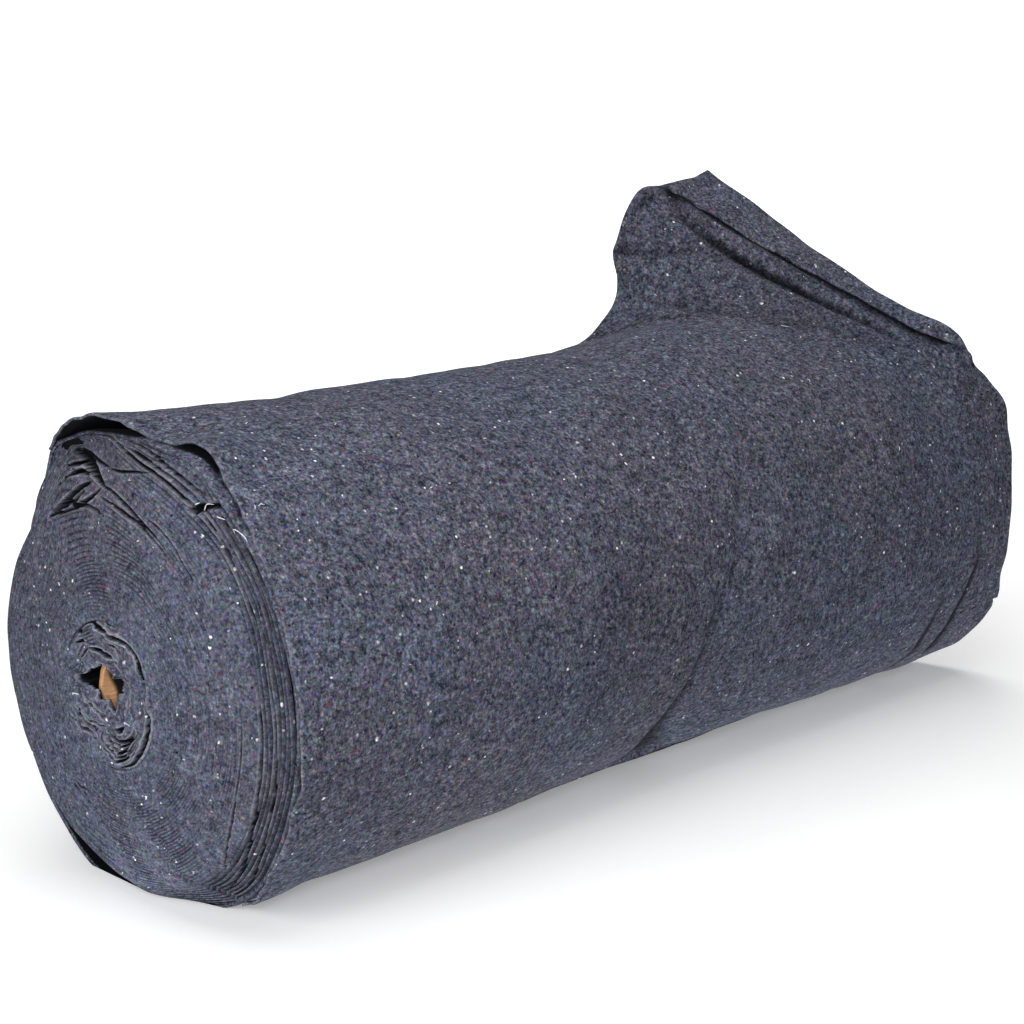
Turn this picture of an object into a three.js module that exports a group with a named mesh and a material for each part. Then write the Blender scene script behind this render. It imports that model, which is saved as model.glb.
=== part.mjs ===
// A roll of needle-punched felt fabric, wound on a cardboard tube and lying on its side.
// The outermost turn is loose: its near selvedge is lifted, and its cut end stands up as a folded flap.
// Millimetres, +Z up. +X runs along the roll, from the coned end to the end with the flap.
// The origin is the middle of the flat spot that the roll rests on.
// Angles round the roll are in degrees: 0 at the front (-Y), 90 at the top, 180 at the back.
import * as THREE from 'three';

// Driving dimensions
const fabricWidth = 1000;
const feltThick = 3;
const rollRadius = 210; // over the outermost turn
const flatDepth = 12; // how far the roll is pressed flat underneath
const turnGap = 0.8; // daylight between the wound roll and its outermost turn
const seatGap = 0.3; // daylight between the tube and the first turn
const tubeRadius = 32;
const tubeWall = 5;
const tubeLength = 1000;
const tubeInset = -25; // the tube starts this far outside the roll's rim, deep in the coned hub
const hubShift = { y: -8, z: -5 }; // the winding isn't quite concentric
const facetAngle = 6; // degrees, the same all round the roll and its outermost turn
const lapStart = -66; // the outermost turn comes out from under the belly here
const lapEnd = 150; // and is cut here

const axisHeight = rollRadius - flatDepth;
const halfWidth = fabricWidth / 2;
const lapMiddle = rollRadius - feltThick / 2;
const woundRadius = rollRadius - feltThick - turnGap;

// Each row is a soft hollow in the roll, or a swelling where its depth is negative.
const hollows = [
  { angle: 138, spread: 24, x: -500, reach: 260, depth: 18 },
  { angle: 188, spread: 26, x: -500, reach: 200, depth: -3 },
  { angle: 228, spread: 20, x: -500, reach: 150, depth: -4 },
  { angle: -42, spread: 18, x: -500, reach: 260, depth: 3 },
  { angle: -42, spread: 34, x: -45, reach: 95, depth: 7 },
  { angle: -52, spread: 22, x: 430, reach: 170, depth: -4 },
  { angle: 70, spread: 16, x: 500, reach: 70, depth: -6 },
];

// The coned end: how far each turn stands out from the rim, by its radius. The other end is dished alike.
const cone = [
  { radius: 190, out: 12 },
  { radius: 175, out: 22 },
  { radius: 150, out: 28 },
  { radius: 120, out: 35 },
  { radius: 90, out: 40 },
  { radius: 62, out: 43 },
  { radius: 47, out: 45 },
];

// Buckled turns, and those drawn in underneath, leave pits in the coned end.
const facePits = [
  { radius: 168, angle: 122, spread: 22, reach: 14, depth: 9 },
  { radius: 185, angle: 40, spread: 16, reach: 14, depth: 5 },
  { radius: 208, angle: 266, spread: 28, reach: 22, depth: 26 },
];

// The near selvedge of the outermost turn: its place along the roll, and its lift off the turn below.
const nearSelvedge = [
  { angle: -66, x: -500, lift: 0 },
  { angle: -5, x: -505, lift: 0 },
  { angle: 20, x: -499, lift: 0 },
  { angle: 49, x: -490, lift: 2 },
  { angle: 66, x: -486, lift: 8 },
  { angle: 76, x: -490, lift: 13 },
  { angle: 86, x: -498, lift: 7 },
  { angle: 96, x: -508, lift: 13 },
  { angle: 106, x: -514, lift: 16 },
  { angle: 118, x: -508, lift: 10 },
  { angle: 130, x: -503, lift: 3 },
  { angle: 150, x: -500, lift: 0 },
];

// The far selvedge of the outermost turn, where it overhangs the roll.
const farSelvedge = [
  { angle: -66, x: 506 },
  { angle: -52, x: 520 },
  { angle: -34, x: 524 },
  { angle: -15, x: 502 },
  { angle: 4, x: 497 },
  { angle: 20, x: 514 },
  { angle: 30, x: 522 },
  { angle: 42, x: 524 },
  { angle: 60, x: 520 },
  { angle: 150, x: 510 },
];

// Slack in the outermost turn makes it stand off the roll along the top.
const topSlack = [
  { x: -500, lift: 12 },
  { x: -300, lift: 7 },
  { x: -180, lift: 3 },
  { x: -80, lift: 0 },
  { x: 20, lift: 0 },
  { x: 110, lift: 6 },
  { x: 180, lift: 12 },
  { x: 260, lift: 9 },
  { x: 340, lift: 3 },
  { x: 500, lift: 0 },
];

// The free end, one row for each section along the roll: the angle where it leaves the roll, how firmly
// it leaves and arrives, its tip (z from the roll's axis), the tip's slope, and how free it is of the roll.
const freeEnd = [
  { x: -500, leave: 116, away: 40, tipX: -500, tipY: 181, tipZ: 104, into: 40, slope: 150, free: 0 },
  { x: -120, leave: 116, away: 40, tipX: -120, tipY: 181, tipZ: 104, into: 40, slope: 150, free: 0 },
  { x: 0, leave: 116, away: 40, tipX: 10, tipY: 176, tipZ: 116, into: 40, slope: 140, free: 0.7 },
  { x: 100, leave: 110, away: 30, tipX: 115, tipY: 150, tipZ: 164, into: 30, slope: 110, free: 1 },
  { x: 178, leave: 102, away: 30, tipX: 172, tipY: 115, tipZ: 193, into: 30, slope: 60, free: 1 },
  { x: 227, leave: 92, away: 40, tipX: 203, tipY: 105, tipZ: 229, into: 35, slope: 25, free: 1 },
  { x: 287, leave: 80, away: 55, tipX: 197, tipY: 100, tipZ: 289, into: 50, slope: 20, free: 1 },
  { x: 364, leave: 62, away: 60, tipX: 242, tipY: 110, tipZ: 348, into: 60, slope: 38, free: 1 },
  { x: 425, leave: 52, away: 45, tipX: 300, tipY: 118, tipZ: 352, into: 52, slope: 45, free: 1 },
  { x: 482, leave: 45, away: 30, tipX: 372, tipY: 130, tipZ: 355, into: 45, slope: 50, free: 1 },
];

// The flap's far edge is turned over towards the front: how wide, and how far round, by angle.
const turnedEdge = [
  { angle: 46, width: 34, turn: 0 },
  { angle: 56, width: 28, turn: 90 },
  { angle: 68, width: 24, turn: 180 },
  { angle: 85, width: 36, turn: 180 },
  { angle: 107, width: 66, turn: 180 },
  { angle: 128, width: 90, turn: 180 },
  { angle: 150, width: 108, turn: 180 },
];
const turnedRadius = 5;

// A soft valley crosses the flap: its place along the roll, by angle.
const flapValley = [
  { angle: 66, x: 420, depth: 0 },
  { angle: 78, x: 408, depth: 4 },
  { angle: 99, x: 384, depth: 9 },
  { angle: 118, x: 364, depth: 9 },
  { angle: 128, x: 334, depth: 9 },
  { angle: 150, x: 288, depth: 7 },
];
const valleySpread = 20;
const settlePasses = 6;

// Where the faceted grids have their lines along the roll.
const sharedStations = [-440, -380, -320, -260, -200, -140, -80, -40, 0, 40, 80, 130, 180, 230, 280, 330];
const rollStations = [-498, -480, ...sharedStations, 380, 430, 470, 500];
const lapStations = [-500, -488, -470, ...sharedStations, 350, 368, 384, 400, 424, 448, 466, 482];
const turnedStations = [1 / 3, 2 / 3, 1, 2, 3]; // thirds of the bend, then the two halves of the strip

const materials = {
  felt: new THREE.MeshStandardMaterial({ color: 0x53545f, roughness: 0.96, metalness: 0 }),
  loose: new THREE.MeshStandardMaterial({ color: 0x5a5b67, roughness: 0.96, metalness: 0 }),
  cardboard: new THREE.MeshStandardMaterial({ color: 0xb88a5c, roughness: 0.85, metalness: 0 }),
};

function bell(distance, spread) {
  return Math.exp(-((distance / spread) ** 2));
}

function ramp(value, from, to) {
  return THREE.MathUtils.smoothstep(value, from, to);
}

// A smooth reader for a table: give it a place, and it gives the row that would lie there.
function readTable(rows, key) {
  const places = rows.map((row) => row[key]);
  const columns = Object.keys(rows[0]).filter((name) => name !== key);
  const values = rows.flatMap((row) => columns.map((name) => row[name]));
  const spline = new THREE.CubicInterpolant(places, values, columns.length);
  return (place) => {
    const inside = THREE.MathUtils.clamp(place, places[0], places.at(-1));
    const result = spline.evaluate(inside);
    return Object.fromEntries(columns.map((name, index) => [name, result[index]]));
  };
}

const nearSelvedgeAt = readTable(nearSelvedge, 'angle');
const farSelvedgeAt = readTable(farSelvedge, 'angle');
const topSlackAt = readTable(topSlack, 'x');
const freeEndAt = readTable(freeEnd, 'x');
const turnedEdgeAt = readTable(turnedEdge, 'angle');
const flapValleyAt = readTable(flapValley, 'angle');

// A point round the roll's axis.
function roundRoll(x, radius, angle) {
  const turn = THREE.MathUtils.degToRad(angle);
  return new THREE.Vector3(x, -radius * Math.cos(turn), radius * Math.sin(turn));
}

// The angle of a point round the roll's axis, from the lap's start round to it again.
function angleOf(y, z) {
  const angle = THREE.MathUtils.radToDeg(Math.atan2(z, -y));
  return angle < lapStart - facetAngle / 2 ? angle + 360 : angle;
}

function hollowAt(x, angle) {
  return hollows.reduce(
    (sum, row) => sum + row.depth * bell(angle - row.angle, row.spread) * bell(x - row.x, row.reach),
    0,
  );
}

// The wound roll's radius is one turn thicker where the outermost turn has run back under it.
function woundRadiusAt(x, angle) {
  const underLap = THREE.MathUtils.clamp((angle - lapEnd) / (360 + lapStart - facetAngle - lapEnd), 0, 1);
  return woundRadius + underLap * feltThick - hollowAt(x, angle);
}

function lapLift(x, angle) {
  const nearShare = bell(Math.max(x + halfWidth, 0), 70);
  const top = topSlackAt(x).lift * bell(angle - 97, 26);
  const near = nearSelvedgeAt(angle).lift;
  return Math.max(0, (1 - nearShare) * top + nearShare * near);
}

function wrappedPoint(x, angle) {
  const nearMove = (nearSelvedgeAt(angle).x + halfWidth) * bell(x + halfWidth, 60);
  const radius = lapMiddle - hollowAt(x, angle) + lapLift(x, angle);
  return roundRoll(x + nearMove, radius, angle);
}

// No part of the outermost turn sinks below the turn under it.
function keepOutside(point) {
  const radius = Math.hypot(point.y, point.z);
  const least = lapMiddle - hollowAt(point.x, angleOf(point.y, point.z));
  const push = Math.max(1, least / radius);
  return point.set(point.x, point.y * push, point.z * push);
}

// The free end leaves the roll along its tangent and runs to its tip.
function freePoint(x, angle, row) {
  const leaving = wrappedPoint(x, row.leave);
  const tip = new THREE.Vector3(row.tipX, row.tipY, row.tipZ);
  const drift = (tip.x - leaving.x) / tip.distanceTo(leaving);
  const leaveTurn = THREE.MathUtils.degToRad(row.leave);
  const tipTurn = THREE.MathUtils.degToRad(row.slope);
  const rise = Math.sqrt(1 - drift ** 2);
  const leaveWay = new THREE.Vector3(0, Math.sin(leaveTurn), Math.cos(leaveTurn));
  const tipWay = new THREE.Vector3(drift, rise * Math.sin(tipTurn), rise * Math.cos(tipTurn));
  const curve = new THREE.CubicBezierCurve3(
    leaving,
    leaving.clone().addScaledVector(leaveWay, row.away),
    tip.clone().addScaledVector(tipWay, -row.into),
    tip,
  );
  return curve.getPoint((angle - row.leave) / (lapEnd - row.leave));
}

function lapPoint(x, angle) {
  const row = freeEndAt(x);
  const wrapped = wrappedPoint(x, angle);
  if (angle <= row.leave) return wrapped;
  const share = THREE.MathUtils.clamp(row.free, 0, 1);
  return keepOutside(wrapped.lerp(freePoint(x, angle, row), share));
}

// Unit vectors on the sheet: along the roll, round it, and out of its outer side.
function sheetFrame(x, angle) {
  const step = 2;
  const along = lapPoint(x + step, angle).sub(lapPoint(x - step, angle)).normalize();
  const round = lapPoint(x, angle + step).sub(lapPoint(x, angle - step)).normalize();
  const out = along.clone().cross(round).normalize();
  return { out, along: round.clone().cross(out) };
}

function valleyPoint(x, angle) {
  const point = lapPoint(x, angle);
  const valley = flapValleyAt(angle);
  const depth = valley.depth * bell(x - valley.x, valleySpread) * ramp(angle, 70, 84);
  if (depth < 0.05) return point;
  return point.addScaledVector(sheetFrame(x, angle).out, -depth);
}

// The strip past the ridge: flat where it lies on the roll, turned right over along the flap.
function turnedPoint(station, angle) {
  const ridge = lapStations.at(-1);
  const inside = Math.min(angle, lapEnd - 2);
  const { out, along } = sheetFrame(ridge - 2, inside);
  const row = turnedEdgeAt(angle);
  const flatShare = 1 - ramp(angle, 40, 50);
  const width = THREE.MathUtils.lerp(row.width, farSelvedgeAt(angle).x - ridge, flatShare);
  const turned = THREE.MathUtils.clamp(row.turn, 0, 180) * ramp(angle, 44, 56);
  const turn = THREE.MathUtils.degToRad(Math.max(turned, 0.1));
  const bendLength = Math.min(Math.PI * turnedRadius, width * 0.6);
  const bent = Math.min(station, 1);
  const straight = (Math.max(station - 1, 0) * (width - bendLength)) / 2;
  const bendRadius = bendLength / turn;
  const point = lapPoint(ridge, angle);
  point.addScaledVector(along, bendRadius * Math.sin(turn * bent) + straight * Math.cos(turn));
  point.addScaledVector(out, bendRadius * (1 - Math.cos(turn * bent)) + straight * Math.sin(turn));
  return point;
}

// The free end settles: each of its points drifts towards the middle of its neighbours.
function settleFreeEnd(rows) {
  const before = rows.map((row) => row.map((point) => point.clone()));
  for (let rowIndex = 1; rowIndex < rows.length - 1; rowIndex += 1) {
    const angle = lapStart + rowIndex * facetAngle;
    for (let column = 1; column < lapStations.length - 1; column += 1) {
      const { leave, free } = freeEndAt(lapStations[column]);
      const share = 0.5 * THREE.MathUtils.clamp(free, 0, 1) * ramp(angle, leave - 2 * facetAngle, leave);
      const middle = new THREE.Vector3()
        .add(before[rowIndex][column - 1])
        .add(before[rowIndex][column + 1])
        .add(before[rowIndex - 1][column])
        .add(before[rowIndex + 1][column])
        .divideScalar(4);
      keepOutside(rows[rowIndex][column].lerp(middle, share));
    }
  }
}

// The middle surface of the outermost turn, as rows of points from its start to its cut end.
function lapGrid() {
  const rows = [];
  for (let angle = lapStart; angle <= lapEnd; angle += facetAngle) {
    rows.push(lapStations.map((x) => valleyPoint(x, angle)));
  }
  for (let pass = 0; pass < settlePasses; pass += 1) settleFreeEnd(rows);
  rows.forEach((row, index) => {
    const angle = lapStart + index * facetAngle;
    row.push(...turnedStations.map((station) => turnedPoint(station, angle)));
  });
  return rows;
}

function gridNormal(grid, row, column) {
  const above = grid[Math.min(row + 1, grid.length - 1)][column];
  const below = grid[Math.max(row - 1, 0)][column];
  const right = grid[row][Math.min(column + 1, grid[0].length - 1)];
  const left = grid[row][Math.max(column - 1, 0)];
  return right.clone().sub(left).cross(above.clone().sub(below)).normalize();
}

// A slab with the grid's own divisions, whose every vertex moves onto one side of the grid's surface.
function looseLapGeometry() {
  const grid = lapGrid();
  const rowSteps = grid.length - 1;
  const columnSteps = grid[0].length - 1;
  const slab = new THREE.BoxGeometry(1, 1, 1, columnSteps, 1, rowSteps);
  const position = slab.attributes.position;
  for (let index = 0; index < position.count; index += 1) {
    const column = Math.round((position.getX(index) + 0.5) * columnSteps);
    const row = Math.round((0.5 - position.getZ(index)) * rowSteps);
    const side = Math.sign(position.getY(index)) * (feltThick / 2);
    const point = grid[row][column].clone().addScaledVector(gridNormal(grid, row, column), side);
    position.setXYZ(index, point.x, point.y, point.z);
  }
  return slab;
}

// The wound roll's section, from the bore out over the coned end, along the roll and back in.
function rollProfile() {
  const bore = tubeRadius + seatGap;
  const nearFace = cone.map((row) => new THREE.Vector2(row.radius, -halfWidth - row.out)).reverse();
  const farFace = cone.map((row) => new THREE.Vector2(row.radius, halfWidth - row.out));
  const outside = rollStations.map((x) => new THREE.Vector2(woundRadius, x));
  const profile = [
    new THREE.Vector2(bore, -halfWidth + tubeInset - 2),
    new THREE.Vector2(39, -halfWidth - 36),
    ...nearFace,
    ...outside,
    ...farFace,
    new THREE.Vector2(bore, halfWidth - cone.at(-1).out + 3),
  ];
  return [...profile, profile[0].clone()];
}

function pitAt(radius, angle) {
  return facePits.reduce(
    (sum, row) => sum + row.depth * bell(angle - row.angle, row.spread) * bell(radius - row.radius, row.reach),
    0,
  );
}

// Lathe the section round its axis, then press it into the roll's uneven form.
function woundRollGeometry() {
  const lathe = new THREE.LatheGeometry(rollProfile(), 360 / facetAngle);
  const position = lathe.attributes.position;
  const bore = tubeRadius + seatGap;
  for (let index = 0; index < position.count; index += 1) {
    const radius = Math.hypot(position.getX(index), position.getZ(index));
    const x = position.getY(index);
    const angle = angleOf(-position.getZ(index), -position.getX(index));
    const outer = ramp(radius, cone.at(-2).radius, woundRadius);
    const crumpled = ramp(radius, bore, bore + 6) * (1 - ramp(radius, 62, 90)) * (x < 0 ? 1 : 0.3);
    const oval = 1 + crumpled * (0.13 * Math.cos(2 * THREE.MathUtils.degToRad(angle - 90)) - 0.13);
    const grown = radius * oval + (woundRadiusAt(x, angle) - woundRadius) * outer;
    const nearFace = 1 - ramp(x, -halfWidth, -halfWidth + 120);
    const point = roundRoll(x + pitAt(radius, angle) * nearFace, grown, angle);
    point.y += hubShift.y * (1 - outer);
    point.z = Math.max(point.z + hubShift.z * (1 - outer), -axisHeight);
    position.setXYZ(index, point.x, point.y, point.z);
  }
  return lathe;
}

function tubeGeometry() {
  const inner = tubeRadius - tubeWall;
  const section = [
    new THREE.Vector2(inner, 0),
    new THREE.Vector2(tubeRadius, 0),
    new THREE.Vector2(tubeRadius, tubeLength),
    new THREE.Vector2(inner, tubeLength),
    new THREE.Vector2(inner, 0),
  ];
  return new THREE.LatheGeometry(section, 360 / facetAngle);
}

function namedMesh(name, geometry, material) {
  const mesh = new THREE.Mesh(geometry, material);
  mesh.name = name;
  return mesh;
}

const tube = namedMesh('core_tube', tubeGeometry(), materials.cardboard);
tube.position.set(-halfWidth + tubeInset, hubShift.y, hubShift.z);
tube.rotation.z = -Math.PI / 2;

const woundRoll = namedMesh('wound_roll', woundRollGeometry(), materials.felt);
const looseLap = namedMesh('loose_lap', looseLapGeometry(), materials.loose);

const roll = new THREE.Group();
roll.position.z = axisHeight;
roll.add(tube, woundRoll, looseLap);

const fabricRoll = new THREE.Group();
fabricRoll.add(roll);

export default fabricRoll;
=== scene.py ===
import math

import bpy
import numpy as np
from mathutils import Matrix, Vector


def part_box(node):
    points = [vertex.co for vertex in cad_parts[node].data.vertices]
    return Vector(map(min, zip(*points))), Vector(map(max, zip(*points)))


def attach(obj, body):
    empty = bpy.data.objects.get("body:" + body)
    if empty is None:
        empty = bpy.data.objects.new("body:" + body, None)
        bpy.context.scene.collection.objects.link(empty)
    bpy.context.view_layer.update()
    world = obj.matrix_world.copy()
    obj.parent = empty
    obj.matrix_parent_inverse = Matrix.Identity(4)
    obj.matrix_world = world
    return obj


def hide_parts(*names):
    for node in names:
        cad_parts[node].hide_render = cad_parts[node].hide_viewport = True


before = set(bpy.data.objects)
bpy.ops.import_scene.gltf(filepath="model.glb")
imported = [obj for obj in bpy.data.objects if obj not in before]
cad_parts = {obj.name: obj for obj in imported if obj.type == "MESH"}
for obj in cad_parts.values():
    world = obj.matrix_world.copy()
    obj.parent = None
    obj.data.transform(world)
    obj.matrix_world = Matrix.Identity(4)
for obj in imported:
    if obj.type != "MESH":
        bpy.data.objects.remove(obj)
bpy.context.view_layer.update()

# A roll of needle-punched felt on a cardboard tube. Its outermost turn is loose: the near selvedge
# is lifted and the cut end stands up as a folded flap.
# Tables are in millimetres and degrees, but for the camera's and the studio's, which are in metres.
# x runs along the roll, angles run round it from the front (-Y) over the top to the back, and y and z
# are measured from the roll's axis until a mesh is made.

tubeLow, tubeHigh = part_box("core_tube")
millimetre = 0.001
roll = {
    "halfWidth": 500.0,
    "radius": 210.0,         # over the outermost turn
    "felt": 3.0,
    "turnGap": 0.8,          # daylight under the outermost turn
    "rimInset": 3.3,         # the turns seen at the ends stop this far inside the body's face
    "hubRadius": 62.0,       # the winding is round up to here
    "hubShift": (-8.0, -5.0),  # it isn't quite concentric: y, z
    "lapStart": -66.0,
    "lapEnd": 150.0,
    "turnGrown": 288.0,      # past the lap's end the next turn grows by its own thickness, until here
    # soft hollows, and swellings where the depth is negative
    "hollows": {
        "angle": (138, 188, 228, -42, -42, -52, 70, 67),
        "spread": (24, 26, 20, 18, 34, 22, 16, 9),
        "x": (-500, -500, -500, -500, -45, 430, 500, -500),
        "reach": (260, 200, 150, 260, 95, 170, 70, 45),
        "depth": (18, -3, -4, 3, 7, -4, -6, -8),
    },
}
roll["axisHeight"] = (tubeLow.z + tubeHigh.z) / 2 / millimetre - roll["hubShift"][1]
roll["woundRadius"] = roll["radius"] - roll["felt"] - roll["turnGap"]
roll["lastTurn"] = roll["woundRadius"] - roll["rimInset"]
roll["lapMiddle"] = roll["radius"] - roll["felt"] / 2


def bell(distance, spread):
    return np.exp(-(np.asarray(distance, float) / spread) ** 2)


def ramp(value, start, end):
    share = np.clip((np.asarray(value, float) - start) / (end - start), 0, 1)
    return share * share * (3 - 2 * share)


# up from 0 to 1 between the first two places, and down again between the last two
def plateau(value, start, full, last, end):
    return ramp(value, start, full) * (1 - ramp(value, last, end))


def mix(first, second, share):
    return first + (second - first) * share


def fromNearEnd(x):
    return np.maximum(x + roll["halfWidth"], 0)


# places along the roll, from rows of (start, end, how many steps)
def spaced(rows):
    return np.unique(np.concatenate([np.linspace(start, end, steps + 1) for start, end, steps in rows]))


# a smooth curve through the rows of a table; the values may be points as well as numbers
def smoothThrough(places, values, wanted):
    places = np.asarray(places, float)
    values = np.asarray(values, float)
    wanted = np.clip(np.asarray(wanted, float), places[0], places[-1])
    right = np.clip(np.searchsorted(places, wanted, side="right"), 1, len(places) - 1)
    left = right - 1
    before = np.where(left > 0, left - 1, right)
    after = np.where(right < len(places) - 1, right + 1, left)
    start, end = places[left], places[right]
    half = (end - start) / 2
    pullBefore = half / (start - places[before])
    pullAfter = half / (places[after] - end)
    t = (wanted - start) / (end - start)
    shares = (
        -pullBefore * t**3 + 2 * pullBefore * t**2 - pullBefore * t,
        (1 + pullBefore) * t**3 - (1.5 + 2 * pullBefore) * t**2 + (pullBefore - 0.5) * t + 1,
        -(1 + pullAfter) * t**3 + (1.5 + pullAfter) * t**2 + 0.5 * t,
        pullAfter * t**3 - pullAfter * t**2,
    )
    total = 0
    for share, index in zip(shares, (before, left, right, after)):
        share = share.reshape(share.shape + (1,) * (values.ndim - 1))
        total = total + share * values[index]
    return total


def column(table, key, name, wanted):
    return smoothThrough(table[key], table[name], wanted)


# smooth random unevenness of about unit size, made of plane waves
def swell(points, size, seed, waves=10):
    rng = np.random.default_rng(seed)
    total = np.zeros(points.shape[:-1])
    for _ in range(waves):
        way = rng.normal(size=points.shape[-1])
        way *= rng.uniform(0.7, 1.5) * 2 * math.pi / (size * np.linalg.norm(way))
        total += np.sin(points @ way + rng.uniform(0, 2 * math.pi))
    return total / math.sqrt(waves / 2)


# unevenness from rows of (height, size, seed)
def uneven(points, rows):
    return sum(height * swell(points, size, seed) for height, size, seed in rows)


def aroundRoll(x, radius, angle):
    x, radius, angle = np.broadcast_arrays(x, radius, np.radians(angle))
    return np.stack([x, -radius * np.cos(angle), radius * np.sin(angle)], axis=-1)


def angleOf(points):
    angle = np.degrees(np.arctan2(points[..., 2], -points[..., 1]))
    return np.where(angle < roll["lapStart"] - 3, angle + 360, angle)


def unit(vectors):
    return vectors / np.maximum(np.linalg.norm(vectors, axis=-1, keepdims=True), 1e-9)


# signed distance to a line of points in a plane, and how far along the line it is, from 0 to 1
def besideLine(places, line):
    line = np.asarray(line, float)
    lengths = np.linalg.norm(np.diff(line, axis=0), axis=1)
    starts = np.concatenate([[0], np.cumsum(lengths)])
    best = np.full(places.shape[:-1], 1e9)
    side = np.zeros_like(best)
    share = np.zeros_like(best)
    for index, length in enumerate(lengths):
        way = (line[index + 1] - line[index]) / length
        offset = places - line[index]
        along = np.clip(offset @ way, 0, length)
        across = offset[..., 0] * way[1] - offset[..., 1] * way[0]
        distance = np.linalg.norm(offset - along[..., None] * way, axis=-1)
        nearer = distance < best
        best = np.where(nearer, distance, best)
        side = np.where(nearer, np.sign(across) * distance, side)
        share = np.where(nearer, (starts[index] + along) / starts[-1], share)
    return side, share


# loop joins the last row to the first, and closed the last column to the first
def gridFaces(rows, columns, loop=False, closed=False):
    row, col = np.meshgrid(np.arange(rows if loop else rows - 1),
                           np.arange(columns if closed else columns - 1), indexing="ij")
    nextRow = (row + 1) % rows
    nextCol = (col + 1) % columns
    corners = [(row, col), (row, nextCol), (nextRow, nextCol), (nextRow, col)]
    return np.stack([down * columns + along for down, along in corners], axis=-1).reshape(-1, 4)


# the shade of a piece is its painted shade, from how deep in a gap or a shadow each of its points lies, and
# lip how near to a frayed edge, which is painted lighter, partly paler fibre and partly a painted highlight;
# both from 0 to 1
def meshPiece(name, points, faces, material, shade=None, lip=None):
    placed = np.asarray(points, float).reshape(-1, 3) * millimetre
    placed[:, 2] += roll["axisHeight"] * millimetre
    mesh = bpy.data.meshes.new(name)
    mesh.from_pydata(placed.tolist(), [], [list(corners) for corners in faces])
    mesh.materials.append(material)
    mesh.polygons.foreach_set("use_smooth", [True] * len(mesh.polygons))
    for label, values in (("shade", shade), ("lip", lip)):
        if values is not None:
            mesh.attributes.new(label, "FLOAT", "POINT").data.foreach_set("value", np.ravel(values))
    mesh.update()
    piece = bpy.data.objects.new(name, mesh)
    bpy.context.scene.collection.objects.link(piece)
    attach(piece, "root")
    return piece


camera = {
    "place": (-1.5272, -1.4860, 0.7763),
    "turn": 44.6132,   # degrees from +Y towards +X
    "down": 13.7946,
    "roll": -0.5144,
    "lens": 77.33,
    "farthest": 60.0,
}


def placeCamera():
    turn, down, lean = (math.radians(camera[key]) for key in ("turn", "down", "roll"))
    ahead = Vector((math.sin(turn) * math.cos(down), math.cos(turn) * math.cos(down), -math.sin(down)))
    level = Vector((math.cos(turn), -math.sin(turn), 0))
    below = ahead.cross(level)
    right = math.cos(lean) * level - math.sin(lean) * below
    under = math.sin(lean) * level + math.cos(lean) * below
    data = bpy.data.cameras.new("camera")
    data.lens = camera["lens"]
    data.clip_end = camera["farthest"]
    eye = bpy.data.objects.new("camera", data)
    axes = Matrix((right, -under, -ahead)).transposed()
    eye.matrix_world = Matrix.Translation(camera["place"]) @ axes.to_4x4()
    bpy.context.scene.collection.objects.link(eye)
    bpy.context.scene.camera = eye


placeCamera()
print("camera placed")

felt = {
    # noises: lumps per metre, detail and roughness
    "bend": (220, 1.0, 0.55),
    "mottle": (105, 1.0, 0.6),
    "clump": (250, 1.0, 0.6),
    "fibre": (480, 1.0, 0.5),
    "hue": (290, 1.0, 0.6),
    "broad": (22, 3.0, 0.6),
    "drift": (4.5, 2.0, 0.6),
    "bendBy": (0.003, 0.003, 0.003),
    # how much of the mottle, the clumps and the fibre there is in the colour and in the bumps
    "inColour": (0.22, 0.40, 0.38),
    "inBumps": (0, 0.7, 0.5),
    # from navy and black fibre to pale: how far from the middle of the mix, in spreads, and the colour
    "spread": 0.15,
    "tones": (
        (-1.0, (0.013, 0.018, 0.036)),
        (-0.42, (0.0462, 0.049225, 0.0682)),
        (0.0, (0.084, 0.0895, 0.124)),
        (0.42, (0.1218, 0.129775, 0.1798)),
        (1.3, (0.29, 0.31, 0.37)),
    ),
    "vivid": 0.7,
    "hueShare": 0.38,
    "lightness": (0.9, 1.1),
    "casts": ((0.35, (1.06, 0.995, 0.96)), (0.65, (0.95, 1.0, 1.03))),   # warmer and cooler parts
    # frayed and curled edges are painted lighter: partly paler fibre, partly a painted highlight
    "frayAndHighlight": {"colour": (0.55, 0.55, 0.60), "share": 0.30},
    # painted shade: deep in gaps, grooves and shadows the felt is painted near black
    "gap": {"colour": (0.002, 0.002, 0.003), "share": 0.98},
    # scattered fibre: cells per metre, its size in a cell, and the share of the cells that hold one
    "crumbs": {
        "cells": 330, "size": 0.22, "share": 0.30, "strength": 0.7,
        "colours": (
            (0.00, (0.26, 0.27, 0.31)),
            (0.40, (0.17, 0.09, 0.12)),
            (0.55, (0.012, 0.012, 0.03)),
            (0.80, (0.15, 0.19, 0.26)),
        ),
    },
    "flecks": {
        "cells": 130, "size": 0.18, "share": 0.6, "strength": 1.0,
        "colours": (
            (0.00, (0.55, 0.55, 0.58)),
            (0.30, (0.30, 0.03, 0.08)),
            (0.46, (0.03, 0.035, 0.17)),
            (0.58, (0.006, 0.006, 0.010)),
            (0.72, (0.34, 0.25, 0.15)),
            (0.82, (0.06, 0.18, 0.20)),
            (0.86, (1.0, 1.0, 1.0)),
        ),
    },
    "curls": {
        "line": (110, 1.0, 0.5, 0.6),
        "patch": (187, 1.0),
        "width": 0.030,
        "kept": (0.56, 0.60),
        "strength": 0.45,
        "colour": (0.24, 0.24, 0.27),
    },
    "bumps": (0.5, 0.0012),       # strength and height
    "roughness": (0.88, 1.0),
    "finish": {
        "Specular IOR Level": 0.05,
        "Sheen Weight": 0.015,
        "Sheen Roughness": 0.5,
        "Sheen Tint": (0.75, 0.78, 0.9),
    },
}


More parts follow.
